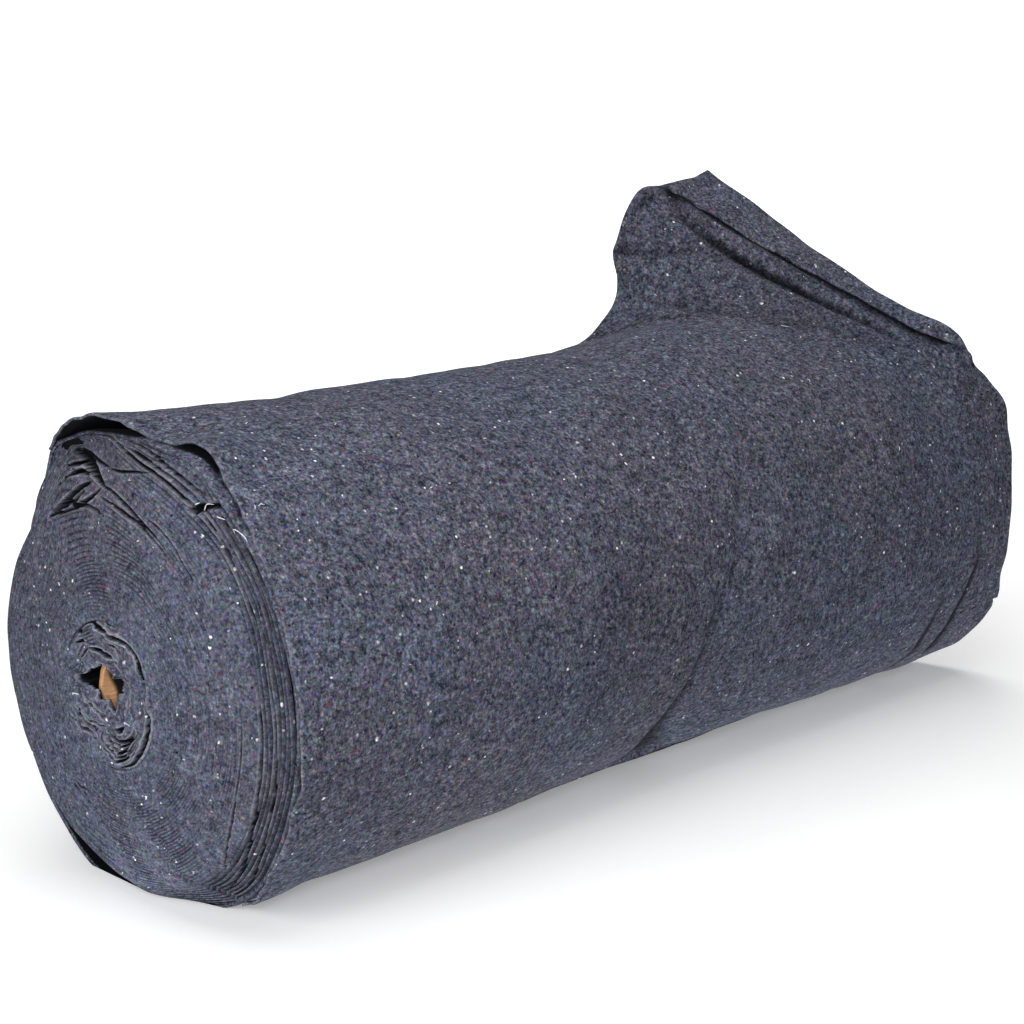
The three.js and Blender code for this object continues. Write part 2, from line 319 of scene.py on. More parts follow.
class NodeDesk:
    # lays out the nodes of a material and joins them
    perRow = 9
    apart = (200, 180)

    def __init__(self, name):
        self.material = bpy.data.materials.new(name)
        self.material.use_nodes = True
        self.tree = self.material.node_tree
        self.shader = self.tree.nodes["Principled BSDF"]
        self.place = self.add("TexCoord").outputs["Object"]

    # a socket takes a number, a colour or places, or what another node gives
    def feed(self, socket, value):
        if isinstance(value, (int, float)):
            socket.default_value = value
        elif isinstance(value, tuple):
            socket.default_value = (*value, 1)[:len(socket.default_value)]
        else:
            self.tree.links.new(value, socket)

    def add(self, kind, values=None, **settings):
        node = self.tree.nodes.new("ShaderNode" + kind)
        for key, value in settings.items():
            setattr(node, key, value)
        for key, value in (values or {}).items():
            self.feed(node.inputs[key], value)
        row, place = divmod(len(self.tree.nodes), self.perRow)
        node.location = (-self.apart[0] * place, -self.apart[1] * row)
        return node

    def noise(self, where, scale, detail=2.0, rough=0.55, distortion=0.0, gives="Fac"):
        values = {"Vector": where, "Scale": scale, "Detail": detail}
        values.update({"Roughness": rough, "Distortion": distortion})
        return self.add("TexNoise", values).outputs[gives]

    def band(self, value, low, high, toLow=0.0, toHigh=1.0):
        values = {"Value": value, "From Min": low, "From Max": high, "To Min": toLow, "To Max": toHigh}
        return self.add("MapRange", values).outputs["Result"]

    def sums(self, operation, first, second=0.0):
        return self.add("Math", {0: first, 1: second}, operation=operation).outputs[0]

    def weigh(self, values, shares):
        total = 0.0
        for value, share in zip(values, shares):
            total = self.sums("ADD", total, self.sums("MULTIPLY", value, share))
        return total

    def blend(self, mode, share, first, second):
        return self.add("MixRGB", {0: share, 1: first, 2: second}, blend_type=mode).outputs[0]

    def stops(self, value, stops, steps=False):
        node = self.add("ValToRGB", {"Fac": value})
        ramp = node.color_ramp
        ramp.interpolation = "CONSTANT" if steps else "LINEAR"
        while len(ramp.elements) < len(stops):
            ramp.elements.new(0.5)
        for element, (place, colour) in zip(ramp.elements, stops):
            element.position = place
            element.color = (*colour, 1)
        return node.outputs["Color"]

    # the colour where the mesh says that it is frayed, lighter for paler fibre and a painted highlight, and
    # where it lies deep in a gap, with painted shade
    def tinted(self, label, mode, colour, row):
        amount = self.add("Attribute", attribute_name=label).outputs["Fac"]
        return self.blend(mode, self.sums("MULTIPLY", amount, row["share"]), colour, row["colour"])

    def bumps(self, height, strength, distance):
        bump = self.add("Bump", {"Height": height, "Strength": strength, "Distance": distance})
        return bump.outputs["Normal"]

    # a finish that varies softly between two values
    def worn(self, value, low, high):
        return self.band(value, 0.3, 0.7, low, high)

    def finish(self, values):
        for key, value in values.items():
            self.feed(self.shader.inputs[key], value)
        return self.material


# flecks of coloured fibre: some cells of a scatter hold one, and its colour comes from the cell
def addFlecks(desk, where, colour, row):
    scatter = desk.add("TexVoronoi", {"Vector": where, "Scale": row["cells"], "Randomness": 1.0},
                       feature="F1", voronoi_dimensions="3D")
    parts = desk.add("SeparateColor", {0: scatter.outputs["Color"]})
    size = row["size"]
    reach = desk.band(parts.outputs[1], 0.0, 1.0, size * 0.5, size * 1.3)
    depth = desk.sums("SUBTRACT", reach, scatter.outputs["Distance"])
    inside = desk.band(depth, 0.0, size * 0.45)
    chosen = desk.sums("LESS_THAN", parts.outputs[0], row["share"])
    amount = desk.sums("MULTIPLY", desk.sums("MULTIPLY", inside, chosen), row["strength"])
    tint = desk.stops(parts.outputs[2], row["colours"], steps=True)
    return desk.blend("MIX", amount, colour, tint)


# short curly fibres: thin contour lines of one noise, kept only where another is high
def addFibres(desk, colour, row):
    curl = desk.noise(desk.place, *row["line"])
    patch = desk.noise(desk.place, *row["patch"])
    offLine = desk.sums("ABSOLUTE", desk.sums("SUBTRACT", curl, 0.5))
    line = desk.band(offLine, row["width"], row["width"] * 0.4)
    kept = desk.band(patch, *row["kept"])
    amount = desk.sums("MULTIPLY", desk.sums("MULTIPLY", line, kept), row["strength"])
    return desk.blend("MIX", amount, colour, row["colour"])


def feltMaterial(name, contrast=1.0):
    desk = NodeDesk(name)
    bent = desk.noise(desk.place, *felt["bend"], gives="Color")
    warp = desk.add("VectorMath", {0: bent, 1: felt["bendBy"], 2: desk.place}, operation="MULTIPLY_ADD")
    where = warp.outputs["Vector"]
    mottle = desk.noise(desk.place, *felt["mottle"])
    clump = desk.noise(where, *felt["clump"])
    fibre = desk.noise(where, *felt["fibre"])
    hue = desk.noise(desk.place, *felt["hue"], gives="Color")
    broad = desk.noise(desk.place, *felt["broad"])
    drift = desk.noise(desk.place, *felt["drift"])

    spread = felt["spread"] / contrast
    mixed = desk.weigh((mottle, clump, fibre), felt["inColour"])
    colour = desk.stops(mixed, [(0.5 + at * spread, tone) for at, tone in felt["tones"]])
    vivid = desk.add("BrightContrast", {"Color": hue, "Contrast": felt["vivid"]}).outputs["Color"]
    colour = desk.blend("OVERLAY", felt["hueShare"], colour, vivid)
    colour = addFlecks(desk, where, colour, felt["crumbs"])
    colour = addFibres(desk, colour, felt["curls"])
    colour = addFlecks(desk, where, colour, felt["flecks"])
    colour = desk.blend("MULTIPLY", 1.0, colour, desk.worn(broad, *felt["lightness"]))
    colour = desk.blend("MULTIPLY", 1.0, colour, desk.stops(drift, felt["casts"]))
    # frayed edges painted lighter: paler fibre and a painted highlight
    colour = desk.tinted("lip", "SCREEN", colour, felt["frayAndHighlight"])
    # painted shade deep in gaps and shadows
    colour = desk.tinted("shade", "MIX", colour, felt["gap"])
    height = desk.weigh((mottle, clump, fibre), felt["inBumps"])
    desk.finish({
        "Base Color": colour,
        "Normal": desk.bumps(height, *felt["bumps"]),
        "Roughness": desk.worn(fibre, *felt["roughness"]),
    })
    return desk.finish(felt["finish"])


board = {
    "streak": (60, 900, 900),
    "fibre": (1.0, 4.0, 0.65),
    "colours": ((0.25, (0.58, 0.28, 0.12)), (0.75, (1.0, 0.61, 0.34))),
    "blotch": (90, 3.0),
    "blotches": ((0.3, (0.62, 0.56, 0.5)), (0.7, (1.0, 1.0, 1.0))),
    "blotchShare": 0.5,
    # painted shadow: the tube's inner wall is painted near black where the light doesn't reach
    "gap": {"colour": (0.003, 0.002, 0.002), "share": 1.0},
    "bumps": (0.35, 0.0006),
    "roughness": (0.72, 0.9),
}


def boardMaterial():
    desk = NodeDesk("brown board")
    streak = desk.add("Mapping", {"Vector": desk.place, "Scale": board["streak"]}).outputs["Vector"]
    fibre = desk.noise(streak, *board["fibre"])
    blotch = desk.noise(desk.place, *board["blotch"])
    colour = desk.stops(fibre, board["colours"])
    colour = desk.blend("MULTIPLY", board["blotchShare"], colour, desk.stops(blotch, board["blotches"]))
    return desk.finish({
        "Base Color": desk.tinted("shade", "MIX", colour, board["gap"]),
        "Normal": desk.bumps(fibre, *board["bumps"]),
        "Roughness": desk.worn(blotch, *board["roughness"]),
    })


thread = {
    "cloud": 420,
    "colours": ((0.3, (0.42, 0.42, 0.45)), (0.6, (0.82, 0.82, 0.84))),
    "roughness": (0.8, 0.95),
}
paper = {
    "cloud": 3.0,
    "colours": ((0.3, (0.88, 0.88, 0.88)), (0.7, (0.92, 0.92, 0.92))),
    # it is lit from behind too, which keeps the shadow soft
    "glow": {"Roughness": 0.9, "Emission Color": (1, 1, 1), "Emission Strength": 0.25},
}


def lintMaterial():
    desk = NodeDesk("white lint")
    cloud = desk.noise(desk.place, thread["cloud"])
    return desk.finish({
        "Base Color": desk.stops(cloud, thread["colours"]),
        "Roughness": desk.worn(cloud, *thread["roughness"]),
    })


def floorMaterial():
    desk = NodeDesk("pale floor")
    cloud = desk.noise(desk.place, paper["cloud"])
    return desk.finish({"Base Color": desk.stops(cloud, paper["colours"]), **paper["glow"]})


feltFace = feltMaterial("grey-blue felt")
feltEdge = feltMaterial("felt at the roll's ends", contrast=0.75)
brownBoard = boardMaterial()
whiteLint = lintMaterial()
print("materials mixed")


# The roll's form, shared by its pieces.

def hollowAt(x, angle):
    total = 0
    for at, spread, place, reach, depth in zip(*roll["hollows"].values()):
        total = total + depth * bell(angle - at, spread) * bell(x - place, reach)
    return total


def woundRadiusAt(x, angle):
    grown = np.clip((angle - roll["lapEnd"]) / (roll["turnGrown"] - roll["lapEnd"]), 0, 1)
    return roll["woundRadius"] + grown * roll["felt"] - hollowAt(x, angle)


# creases pressed into the outermost turn: the line (x, angle) of each, how deep it is and how dark its
# painted shade is along the line, how wide its painted shadow is, and how fast it fades on its left and right
creases = {
    "pleat": {
        "x": (-12, -20, -20, -14, -12, -4, 8, 26, 38, 53, 70),
        "angle": (-62, -45, -32, -21, -12, -6, 1, 8, 15, 25, 36),
        "depth": (11, 11, 10.5, 9, 7, 5.5, 4.5, 3.5, 2.2, 1.0, 0),
        "dark": (0.97, 0.96, 0.88, 0.65, 0.45, 0.35, 0.3, 0.25, 0.2, 0.1, 0),
        "shadow": (52, 33, 22, 16, 12, 9, 7, 6, 5, 4, 4),
        "left": 95, "right": 4, "line": 2.0,
    },
    "pleatFoot": {
        "x": (-30, -15, 10, 35, 60),
        "angle": (-52, -53, -54, -55, -55),
        "depth": (0, 2, 3, 2, 0),
        "dark": (0, 0.5, 0.6, 0.4, 0),
        "shadow": 3.0,
        "left": 6, "right": 4, "line": 2.5,
    },
    "farFold": {
        "x": (446, 441, 436, 436, 437, 441, 439),
        "angle": (-48, -37, -30, -23, -17, -11, -2),
        "depth": (3.5, 3.5, 3.5, 3, 2.5, 1.5, 0),
        "dark": (0.9, 0.95, 0.95, 0.95, 0.9, 0.6, 0),
        "shadow": (11, 9.5, 8.5, 7.5, 7, 6, 5),
        "left": 18, "right": 4, "line": 2.2,
    },
    "farFoldNext": {
        "x": (396, 404, 398, 395, 395, 393),
        "angle": (-60, -47, -39, -31, -24, -17),
        "depth": (3.5, 3.5, 3, 2.5, 1.5, 0),
        "dark": (0.95, 0.95, 0.9, 0.85, 0.6, 0),
        "shadow": (16, 11, 9, 8, 6.5, 5),
        "left": 18, "right": 4, "line": 2.2,
    },
    "selvedgeFold": {
        "x": (464, 478, 492, 505, 516),
        "angle": (-29, -31, -32, -31, -29),
        "depth": (0, 2, 2.5, 2, 1),
        "dark": (0, 0.7, 0.8, 0.7, 0.4),
        "shadow": 2.4,
        "left": 4, "right": 6, "line": 2.0,
    },
}


creaseSteps = 40


# signed distance to a crease, how far along it, and where its values stand
def besideCrease(row, x, angle):
    knots = np.arange(len(row["x"]))
    steps = np.linspace(0, knots[-1], creaseSteps)

    def onSheet(x, angle):
        return np.stack(np.broadcast_arrays(x, np.radians(angle) * roll["lapMiddle"]), axis=-1)

    line = onSheet(smoothThrough(knots, row["x"], steps), smoothThrough(knots, row["angle"], steps))
    side, share = besideLine(onSheet(x, angle), line)
    return side, share * knots[-1], knots


def creaseAt(x, angle, table=creases):
    total = 0
    for row in table.values():
        side, along, knots = besideCrease(row, x, angle)
        deep = np.interp(along, knots, row["depth"])
        total = total + deep * np.exp(-np.sqrt(side**2 + 1) / np.where(side < 0, row["right"], row["left"]))
    return total


def creaseDark(x, angle, table=creases):
    total = 0
    for row in table.values():
        side, along, knots = besideCrease(row, x, angle)
        shadow = np.interp(along, knots, np.broadcast_to(row["shadow"], knots.shape))
        spread = np.where(side < 0, bell(side, row["line"]), np.exp(-np.maximum(side / shadow, 0)**4))
        total = total + np.interp(along, knots, row["dark"]) * spread
    return total


looseLap = {
    "name": "loose_outer_turn",
    "settlePasses": 6,
    "selvedgeReach": {"lift": 70.0, "move": 60.0},   # how far in from the near selvedge it is felt
    "nearSelvedge": {
        "angle": (-66, -58, -50, -40, -28, -5, 20, 45, 52, 57, 61, 65, 69, 73, 77, 81, 85, 90, 98, 104,
                  110, 115, 119, 123, 127, 132, 150),
        "x": (-472, -476, -486, -495, -500, -502, -501, -496, -493, -491, -489, -487, -487, -489, -491,
              -494, -496, -500, -504, -507, -509, -509, -507, -504, -502, -500, -500),
        "lift": (0, 0, 0, 0, 0, 0, 0, 3, 5, 3, 3, 6, 10, 8, 4, 1.5, 2.5, 8, 14.5, 19, 21.5, 23, 24, 24,
                 20, 12, 0),
    },
    "lastAngleNear": 124.0,   # where the cut end meets the near selvedge
    "slantEnd": 80.0,         # and how far along the cut end gets to its own angle
    "farSelvedge": {
        "angle": (-66, -52, -34, -15, 4, 20, 30, 40, 46, 52, 150),
        "x": (506, 520, 524, 502, 497, 514, 520, 514, 502, 500, 504),
    },
    "topSlack": {
        "x": (-500, -300, -180, -80, 20, 110, 180, 260, 340, 500),
        "lift": (12, 7, 3, 0, 0, 6, 12, 9, 3, 0),
        "angle": 97.0,
        "spread": 26.0,
    },
    # the free end: where each section leaves the roll, its tip, and the pull of its curve at both ends
    "freeEnd": {
        "x": (-500, -120, 0, 100, 178, 227, 287, 364, 425, 482),
        "leave": (116, 116, 116, 110, 102, 92, 80, 62, 52, 45),
        "away": (40, 40, 40, 30, 30, 40, 55, 60, 45, 30),
        "tipX": (-500, -120, 10, 115, 172, 203, 197, 242, 300, 372),
        "tipY": (181, 181, 176, 150, 115, 105, 100, 110, 118, 130),
        "tipZ": (104, 104, 116, 164, 193, 229, 289, 348, 352, 355),
        "into": (40, 40, 40, 30, 30, 35, 50, 60, 52, 45),
        "slope": (150, 150, 140, 110, 60, 25, 20, 38, 45, 50),
        "free": (0, 0, 0.7, 1, 1, 1, 1, 1, 1, 1),
    },
    "turnedEdge": {
        "angle": (42, 46, 50, 56, 62, 71, 81, 91, 100, 107, 116, 130, 150),
        "width": (20, 9, 8, 12, 24, 33, 38, 44, 54, 63, 72, 83, 100),
        "turn": (0, 10, 55, 135, 180, 180, 180, 180, 180, 180, 180, 180, 180),
        "radius": 4.2,
        "mostBend": 0.6,           # the bend takes at most this share of the width
        "widthFrom": (40, 50),     # angles over which it begins
        "turnFrom": (40, 48),
        "liesDown": (100, 180),    # turns over which it comes back down on the flap
        "daylight": 0.7,
        "bendSteps": 7,
        "flatSteps": 18,
    },
    # creases of the flap; negative depths stand up
    "flapCreases": {
        "valley": {
            "x": (424, 426, 421, 412, 400, 389, 383, 381, 383, 400, 412),
            "angle": (58, 70, 80, 88, 95, 102, 110, 122, 131, 142, 150),
            "depth": (0, 3, 6, 8, 9, 9, 9, 8, 7, 4, 3),
            "dark": (0, 0.25, 0.5, 0.72, 0.85, 0.9, 0.9, 0.75, 0.5, 0.35, 0.25),
            "shadow": 7.8,
            "left": 7, "right": 26, "line": 6.5,
        },
        "rib": {
            "x": (444, 436, 424, 412, 404, 402, 402, 410),
            "angle": (78, 88, 98, 108, 118, 126, 134, 144),
            "depth": (0, -3, -5, -6, -6, -5, -4, -2),
            "dark": (0, 0, 0, 0, 0, 0, 0, 0),
            "shadow": 1.2,
            "left": 12, "right": 12, "line": 1.0,
        },
        "side fold": {
            "x": (288, 315, 335, 351, 366, 372),
            "angle": (150, 140, 130, 123, 115, 108),
            "depth": (6, 6, 5, 4, 2, 0),
            "dark": (0.5, 0.5, 0.45, 0.35, 0.2, 0),
            "shadow": 4.8,
            "left": 16, "right": 7, "line": 4.0,
        },
        "tip fold": {
            "x": (340, 352, 369, 386, 398),
            "angle": (149, 146, 145, 145, 146),
            "depth": (0, 3, 4, 3, 0),
            "dark": (0, 0.6, 0.8, 0.5, 0),
            "shadow": 3.6,
            "left": 8, "right": 5, "line": 3.0,
        },
    },
    # the line along which the flap starts to stand up
    "flapFoot": {
        "x": (164, 167, 198, 212, 234, 271, 286, 312, 348, 369),
        "angle": (146, 129, 118, 111, 103, 94, 85, 80, 77, 69),
    },
    "bulge": {"angle": 62.0, "spread": 18.0, "x": 495.0, "reach": 60.0, "height": 24.5},
    "offRoll": (214, 226),    # radii past which the roll's own creases stop
    "uneven": ((0.9, 150, 11), (0.45, 55, 12)),
    "unevenEdge": ((0.8, 22, 13),),
    "edgeReach": 10.0,
    "deepest": 0.95,
    "shadows": {
        # painted shadows: a soft one in the hollow of the body, and one at the flap's foot
        "hollow": {"x": -105, "reach": 120, "angle": -2, "spread": 17, "dark": 0.16},
        "foot": {"dark": 0.48, "fade": 60.0, "edge": (-3, 8), "x": (120, 170)},
        # a painted shadow line beside the turned strip's edge, over these columns of the flap and from this
        # angle on
        "strip": {"dark": 1.1, "reach": 8.5, "columns": 130, "angle": 60},
        "most": 0.97,
    },
    "archShadow": {"from": (380, 430), "edge": (-500.0, -499.0)},
    "cutEdge": 0.55,          # share of its thickness that is left at the cut edges
    "frayAndHighlight": 0.2,
    "stations": (-500, -488, -470, -440, -380, -320, -260, -200, -140, -80, -40, 0, 40, 80, 130, 180,
                 230, 280, 330, 350, 368, 384, 400, 424, 448, 466, 482),
    "rowStep": 6.0,
    # the mesh along the roll: start, end and steps
    "columns": ((-500, -480, 8), (-480, -110, 66), (-110, 110, 74), (110, 370, 50), (370, 482, 35)),
    "rows": 150,
}


# how free of the roll each section's end is, from 0 to 1
def freeShare(x):
    return np.clip(column(looseLap["freeEnd"], "x", "free", x), 0, 1)


def lapLift(x, angle):
    near = bell(fromNearEnd(x), looseLap["selvedgeReach"]["lift"])
    slack = looseLap["topSlack"]
    top = column(slack, "x", "lift", x) * bell(angle - slack["angle"], slack["spread"])
    return np.maximum(0, (1 - near) * top + near * column(looseLap["nearSelvedge"], "angle", "lift", angle))


def wrappedPoint(x, angle):
    # the cut end slants: it stops sooner at the near selvedge
    fromEnd = x + roll["halfWidth"]
    last = mix(looseLap["lastAngleNear"], roll["lapEnd"], ramp(fromEnd, 0, looseLap["slantEnd"]))
    angle = np.where(angle > 90, 90 + (angle - 90) * (last - 90) / (roll["lapEnd"] - 90), angle)
    selvedge = column(looseLap["nearSelvedge"], "angle", "x", angle)
    move = (selvedge + roll["halfWidth"]) * bell(fromEnd, looseLap["selvedgeReach"]["move"])
    return aroundRoll(x + move, roll["lapMiddle"] - hollowAt(x, angle) + lapLift(x, angle), angle)


# no part of the outermost turn sinks below the turn under it
def keepOutside(points):
    radius = np.hypot(points[..., 1], points[..., 2])
    least = roll["lapMiddle"] - hollowAt(points[..., 0], angleOf(points))
    push = np.maximum(1, least / np.maximum(radius, 1))[..., None]
    return points * np.concatenate([np.ones_like(push), push, push], axis=-1)


def freePoint(x, angle):
    end = {name: column(looseLap["freeEnd"], "x", name, x) for name in looseLap["freeEnd"]}
    leaving = wrappedPoint(x, end["leave"])
    tip = np.stack([end["tipX"], end["tipY"], end["tipZ"]], axis=-1)
    drift = (tip[..., 0] - leaving[..., 0]) / np.linalg.norm(tip - leaving, axis=-1)
    rise = np.sqrt(1 - drift**2)
    leave, slope = np.radians(end["leave"]), np.radians(end["slope"])
    leaveWay = np.stack([np.zeros_like(leave), np.sin(leave), np.cos(leave)], axis=-1)
    tipWay = np.stack([drift, rise * np.sin(slope), rise * np.cos(slope)], axis=-1)
    pull = leaving + leaveWay * end["away"][..., None]
    press = tip - tipWay * end["into"][..., None]
    t = ((angle - end["leave"]) / (roll["lapEnd"] - end["leave"]))[..., None]
    return (1 - t)**3 * leaving + 3 * t * (1 - t)**2 * pull + 3 * t**2 * (1 - t) * press + t**3 * tip


def lapPoint(x, angle):
    x, angle = np.broadcast_arrays(np.asarray(x, float), np.asarray(angle, float))
    wrapped = wrappedPoint(x, angle)
    leave = column(looseLap["freeEnd"], "x", "leave", x)
    loose = keepOutside(mix(wrapped, freePoint(x, angle), freeShare(x)[..., None]))
    return np.where((angle > leave)[..., None], loose, wrapped)


def sheetAxes(x, angle):
    step = 2
    along = unit(lapPoint(x + step, angle) - lapPoint(x - step, angle))
    across = unit(lapPoint(x, angle + step) - lapPoint(x, angle - step))
    out = unit(np.cross(along, across))
    return out, np.cross(across, out)


# the ridge bulges where its turned strip begins
def bulgedPoint(x, angle):
    bulge = looseLap["bulge"]
    high = bell(angle - bulge["angle"], bulge["spread"]) * bell(x - bulge["x"], bulge["reach"])
    return lapPoint(x, angle) + sheetAxes(x, angle)[0] * bulge["height"] * high[..., None]


# the free end settles: each of its points drifts towards the middle of its neighbours
def settleFreeEnd(grid, xs, angles):
    leave = column(looseLap["freeEnd"], "x", "leave", xs)[None, 1:-1]
    over = 2 * looseLap["rowStep"]
    share = 0.5 * freeShare(xs)[None, 1:-1] * ramp((angles[1:-1, None] - leave + over) / over, 0, 1)
    for _ in range(looseLap["settlePasses"]):
        middle = (grid[:-2, 1:-1] + grid[2:, 1:-1] + grid[1:-1, :-2] + grid[1:-1, 2:]) / 4
        grid[1:-1, 1:-1] = keepOutside(mix(grid[1:-1, 1:-1], middle, share[..., None]))
    return grid


def gridNormals(grid):
    return unit(np.cross(np.gradient(grid, axis=1), np.gradient(grid, axis=0)))


# the lap's middle surface, fine enough for its creases
def lapSurface():
    stations = np.array(looseLap["stations"], float)
    coarse = np.arange(roll["lapStart"], roll["lapEnd"] + 0.1, looseLap["rowStep"])
    grid = settleFreeEnd(bulgedPoint(stations[None, :], coarse[:, None]), stations, coarse)
    xs = spaced(looseLap["columns"])
    angles = np.linspace(roll["lapStart"], roll["lapEnd"], looseLap["rows"])
    fine = smoothThrough(coarse, grid, angles)
    fine = smoothThrough(stations, fine.swapaxes(0, 1), xs).swapaxes(0, 1)
    return xs, angles, fine


def dressLap(xs, angles, grid):
    x, angle = np.meshgrid(xs, angles)
    onRoll = 1 - ramp(np.hypot(grid[..., 1], grid[..., 2]), *looseLap["offRoll"])
    sunk = creaseAt(x, angle) * onRoll + creaseAt(x, angle, looseLap["flapCreases"])
    edge = bell(x + roll["halfWidth"], looseLap["edgeReach"])
    rough = uneven(grid, looseLap["uneven"]) + edge * uneven(grid, looseLap["unevenEdge"])
    return grid + gridNormals(grid) * (rough - sunk)[..., None]


# painted shade: how dark the lap's outer face is painted in its creases, at the flap's foot and beside the
# turned strip
def creaseShade(xs, angles, whole):
    x, angle = np.meshgrid(xs, angles)
    hollow, foot, strip = (looseLap["shadows"][name] for name in ("hollow", "foot", "strip"))
    dark = np.zeros(whole.shape[:2])
    onRoll = np.clip(creaseDark(x, angle), 0, looseLap["deepest"])
    onRoll = onRoll + hollow["dark"] * (bell(x - hollow["x"], hollow["reach"])
                                        * bell(angle - hollow["angle"], hollow["spread"]))
    side = besideCrease(looseLap["flapFoot"], x, angle)[0]
    underFlap = foot["dark"] * np.exp(-np.maximum(-side, 0) / foot["fade"]) * ramp(-side, *foot["edge"])
    onFlap = creaseDark(x, angle, looseLap["flapCreases"]) + underFlap * ramp(x, *foot["x"])
    dark[:, :len(xs)] = onRoll + onFlap
    rows = np.flatnonzero(angles > strip["angle"])
    columns = np.arange(len(xs) - strip["columns"], len(xs))
    flap, edge = whole[np.ix_(rows, columns)], whole[rows, -1]
    away = np.linalg.norm(flap[:, :, None] - edge[None, None], axis=-1).min(axis=-1)
    dark[np.ix_(rows, columns)] += strip["dark"] * bell(away, strip["reach"])
    return np.clip(dark, 0, looseLap["shadows"]["most"])


# the strip past the ridge: flat where it lies on the roll, turned right over along the flap
def turnedStrip(xs, angles, grid):
    ridge = grid[:, -1]
    along = unit(grid[:, -1] - grid[:, -4])
    across = unit(np.gradient(grid, axis=0)[:, -2])
    out = unit(np.cross(along, across))
    along = np.cross(across, out)
    table = looseLap["turnedEdge"]
    beside = column(looseLap["farSelvedge"], "angle", "x", angles) - xs[-1]
    width = mix(column(table, "angle", "width", angles), beside, 1 - ramp(angles, *table["widthFrom"]))
    turned = np.clip(column(table, "angle", "turn", angles), 0, 180) * ramp(angles, *table["turnFrom"])
    turn = np.radians(np.maximum(turned, 0.1))
    bend = np.minimum(math.pi * table["radius"], width * table["mostBend"])
    bendRadius = bend / turn
    # past the bend it comes back down on the flap
    drop = np.clip((2 * bendRadius - roll["felt"] - table["daylight"]) / (width - bend), 0, 0.5)
    lie = turn + np.arcsin(drop * ramp(turned, *table["liesDown"]))

    def moved(start, ahead, up):
        return start + along * ahead[:, None] + out * up[:, None]

    columns = []
    for share in np.linspace(0, 1, table["bendSteps"] + 1)[1:]:
        swing = turn * share
        columns.append(moved(ridge, bendRadius * np.sin(swing), bendRadius * (1 - np.cos(swing))))
    start = columns[-1]
    for share in np.linspace(0, 1, table["flatSteps"] + 1)[1:]:
        straight = (width - bend) * share
        columns.append(moved(start, straight * np.cos(lie), straight * np.sin(lie)))
    return np.stack(columns, axis=1)


def makeLap():
    xs, angles, grid = lapSurface()
    grid = dressLap(xs, angles, grid)
    whole = np.concatenate([grid, turnedStrip(xs, angles, grid)], axis=1)
    rows, columns = whole.shape[:2]
    half = gridNormals(whole) * roll["felt"] / 2
    # the cut edges are rounded over: the last points of both faces are drawn together
    full = np.ones((rows, columns, 1))
    full[(0, -1), :] = looseLap["cutEdge"]
    full[:, (0, -1)] = looseLap["cutEdge"]
    outside, inside = whole + half * full, (whole - half * full)[:, ::-1]
    around = 2 * columns
    faces = gridFaces(rows, around, closed=True).tolist()
    for start, flip in ((0, 1), ((rows - 1) * around, -1)):
        for near in range(columns - 1):
            far = around - 1 - near
            faces.append([start + near, start + far, start + far - 1, start + near + 1][::flip])
    # painted shade: the inner face is painted dark where it arches over the roll's near end
    shade = np.zeros((rows, around))
    arch = looseLap["archShadow"]
    x = np.concatenate([xs, np.full(columns - len(xs), roll["halfWidth"])])[::-1]
    shade[:, columns:] = ramp(-x, *arch["from"]) * ramp(x, *arch["edge"])
    shade[:, :columns] = creaseShade(xs, angles, whole)
    # the cut edges are painted lighter: partly paler fibre, partly a painted highlight
    lip = np.zeros((rows, around))
    lip[:, (0, -1)] = looseLap["frayAndHighlight"]
    shell = np.concatenate([outside, inside], axis=1)
    piece = meshPiece(looseLap["name"], shell, faces, feltFace, shade, lip)
    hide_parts("loose_lap")
    print("loose turn:", rows, "by", columns)
    return piece, (xs, angles, outside)


woundBody = {
    "name": "wound_turns",
    "underLap": 2.2,        # how far it keeps below the loose turn, between these angles and places
    "covered": (-72, -64, 140, 150),
    "inner": (-500, -450, 450, 500),
    "angleSteps": 300,
    "columns": ((-502, -478, 12), (-473, -438, 7), (-430, 430, 43), (440, 500, 11)),
    "uneven": ((0.7, 140, 21), (0.35, 50, 22)),
    "rimReach": {"lift": 45.0, "slant": 60.0},   # how far in from the near end the rim is felt
    # the turn's own thickness at both ends and the gap under it: how far in from the rim and how far
    # down at the near end, where along the roll and how far down at the far end
    "nearGap": ((24, 5.5), (1.8, 0.2), (0.5, 0.0)),
    "deepAt": -478.0,       # the innermost ring of the near gap takes its radius here
    "farGap": ((499.0, 3.0), (485.0, 5.0)),
    # painted shadow where the loose turn stands off and keeps the light out, between these angles
    "opening": {"from": (40, 50), "to": 150, "height": (0.3, 3.0), "edge": (-5, -0.5), "x": -380},
    # the near rim: it stands up at the top, hangs off the roll low at the back, and slants where it rests
    "rim": {
        "angle": (-66, -48, -36, -20, 43, 52, 58, 66, 76, 83, 88, 94, 100, 108, 115, 120, 123.5, 127, 132,
                  138, 143, 150, 205, 222, 236, 250, 262, 270, 281, 291, 294),
        "lift": (0, 0, 0, 0, 2, 3, 2, 2, 1.6, 2.2, 3.6, 5.4, 8.3, 13.6, 18, 22.5, 23.5, 19, 11.5,
                 3.8, 0.5, 0, 2, 5, 7, 7, 5, 3, 0, 0, 0),
        "slant": (27, 14, 5, 0, 0, 0, 0, 0, 0, 0, 0, 0, 0, 0, 0, 0, 0, 0, 0, 0, 0, 0,
                  0, 0, 0, 0, 0, 2, 18, 27, 27),
    },
}


# the rim's lift or slant
def rimAt(angle, name):
    return np.maximum(0, column(woundBody["rim"], "angle", name, angle))


def bodyRadius(x, angle):
    covered = plateau(angle, *woundBody["covered"])
    hidden = woundBody["underLap"] * covered * plateau(x, *woundBody["inner"]) + creaseAt(x, angle) * covered
    rise = rimAt(angle, "lift") * bell(fromNearEnd(x), woundBody["rimReach"]["lift"])
    return woundRadiusAt(x, angle) - hidden + rise


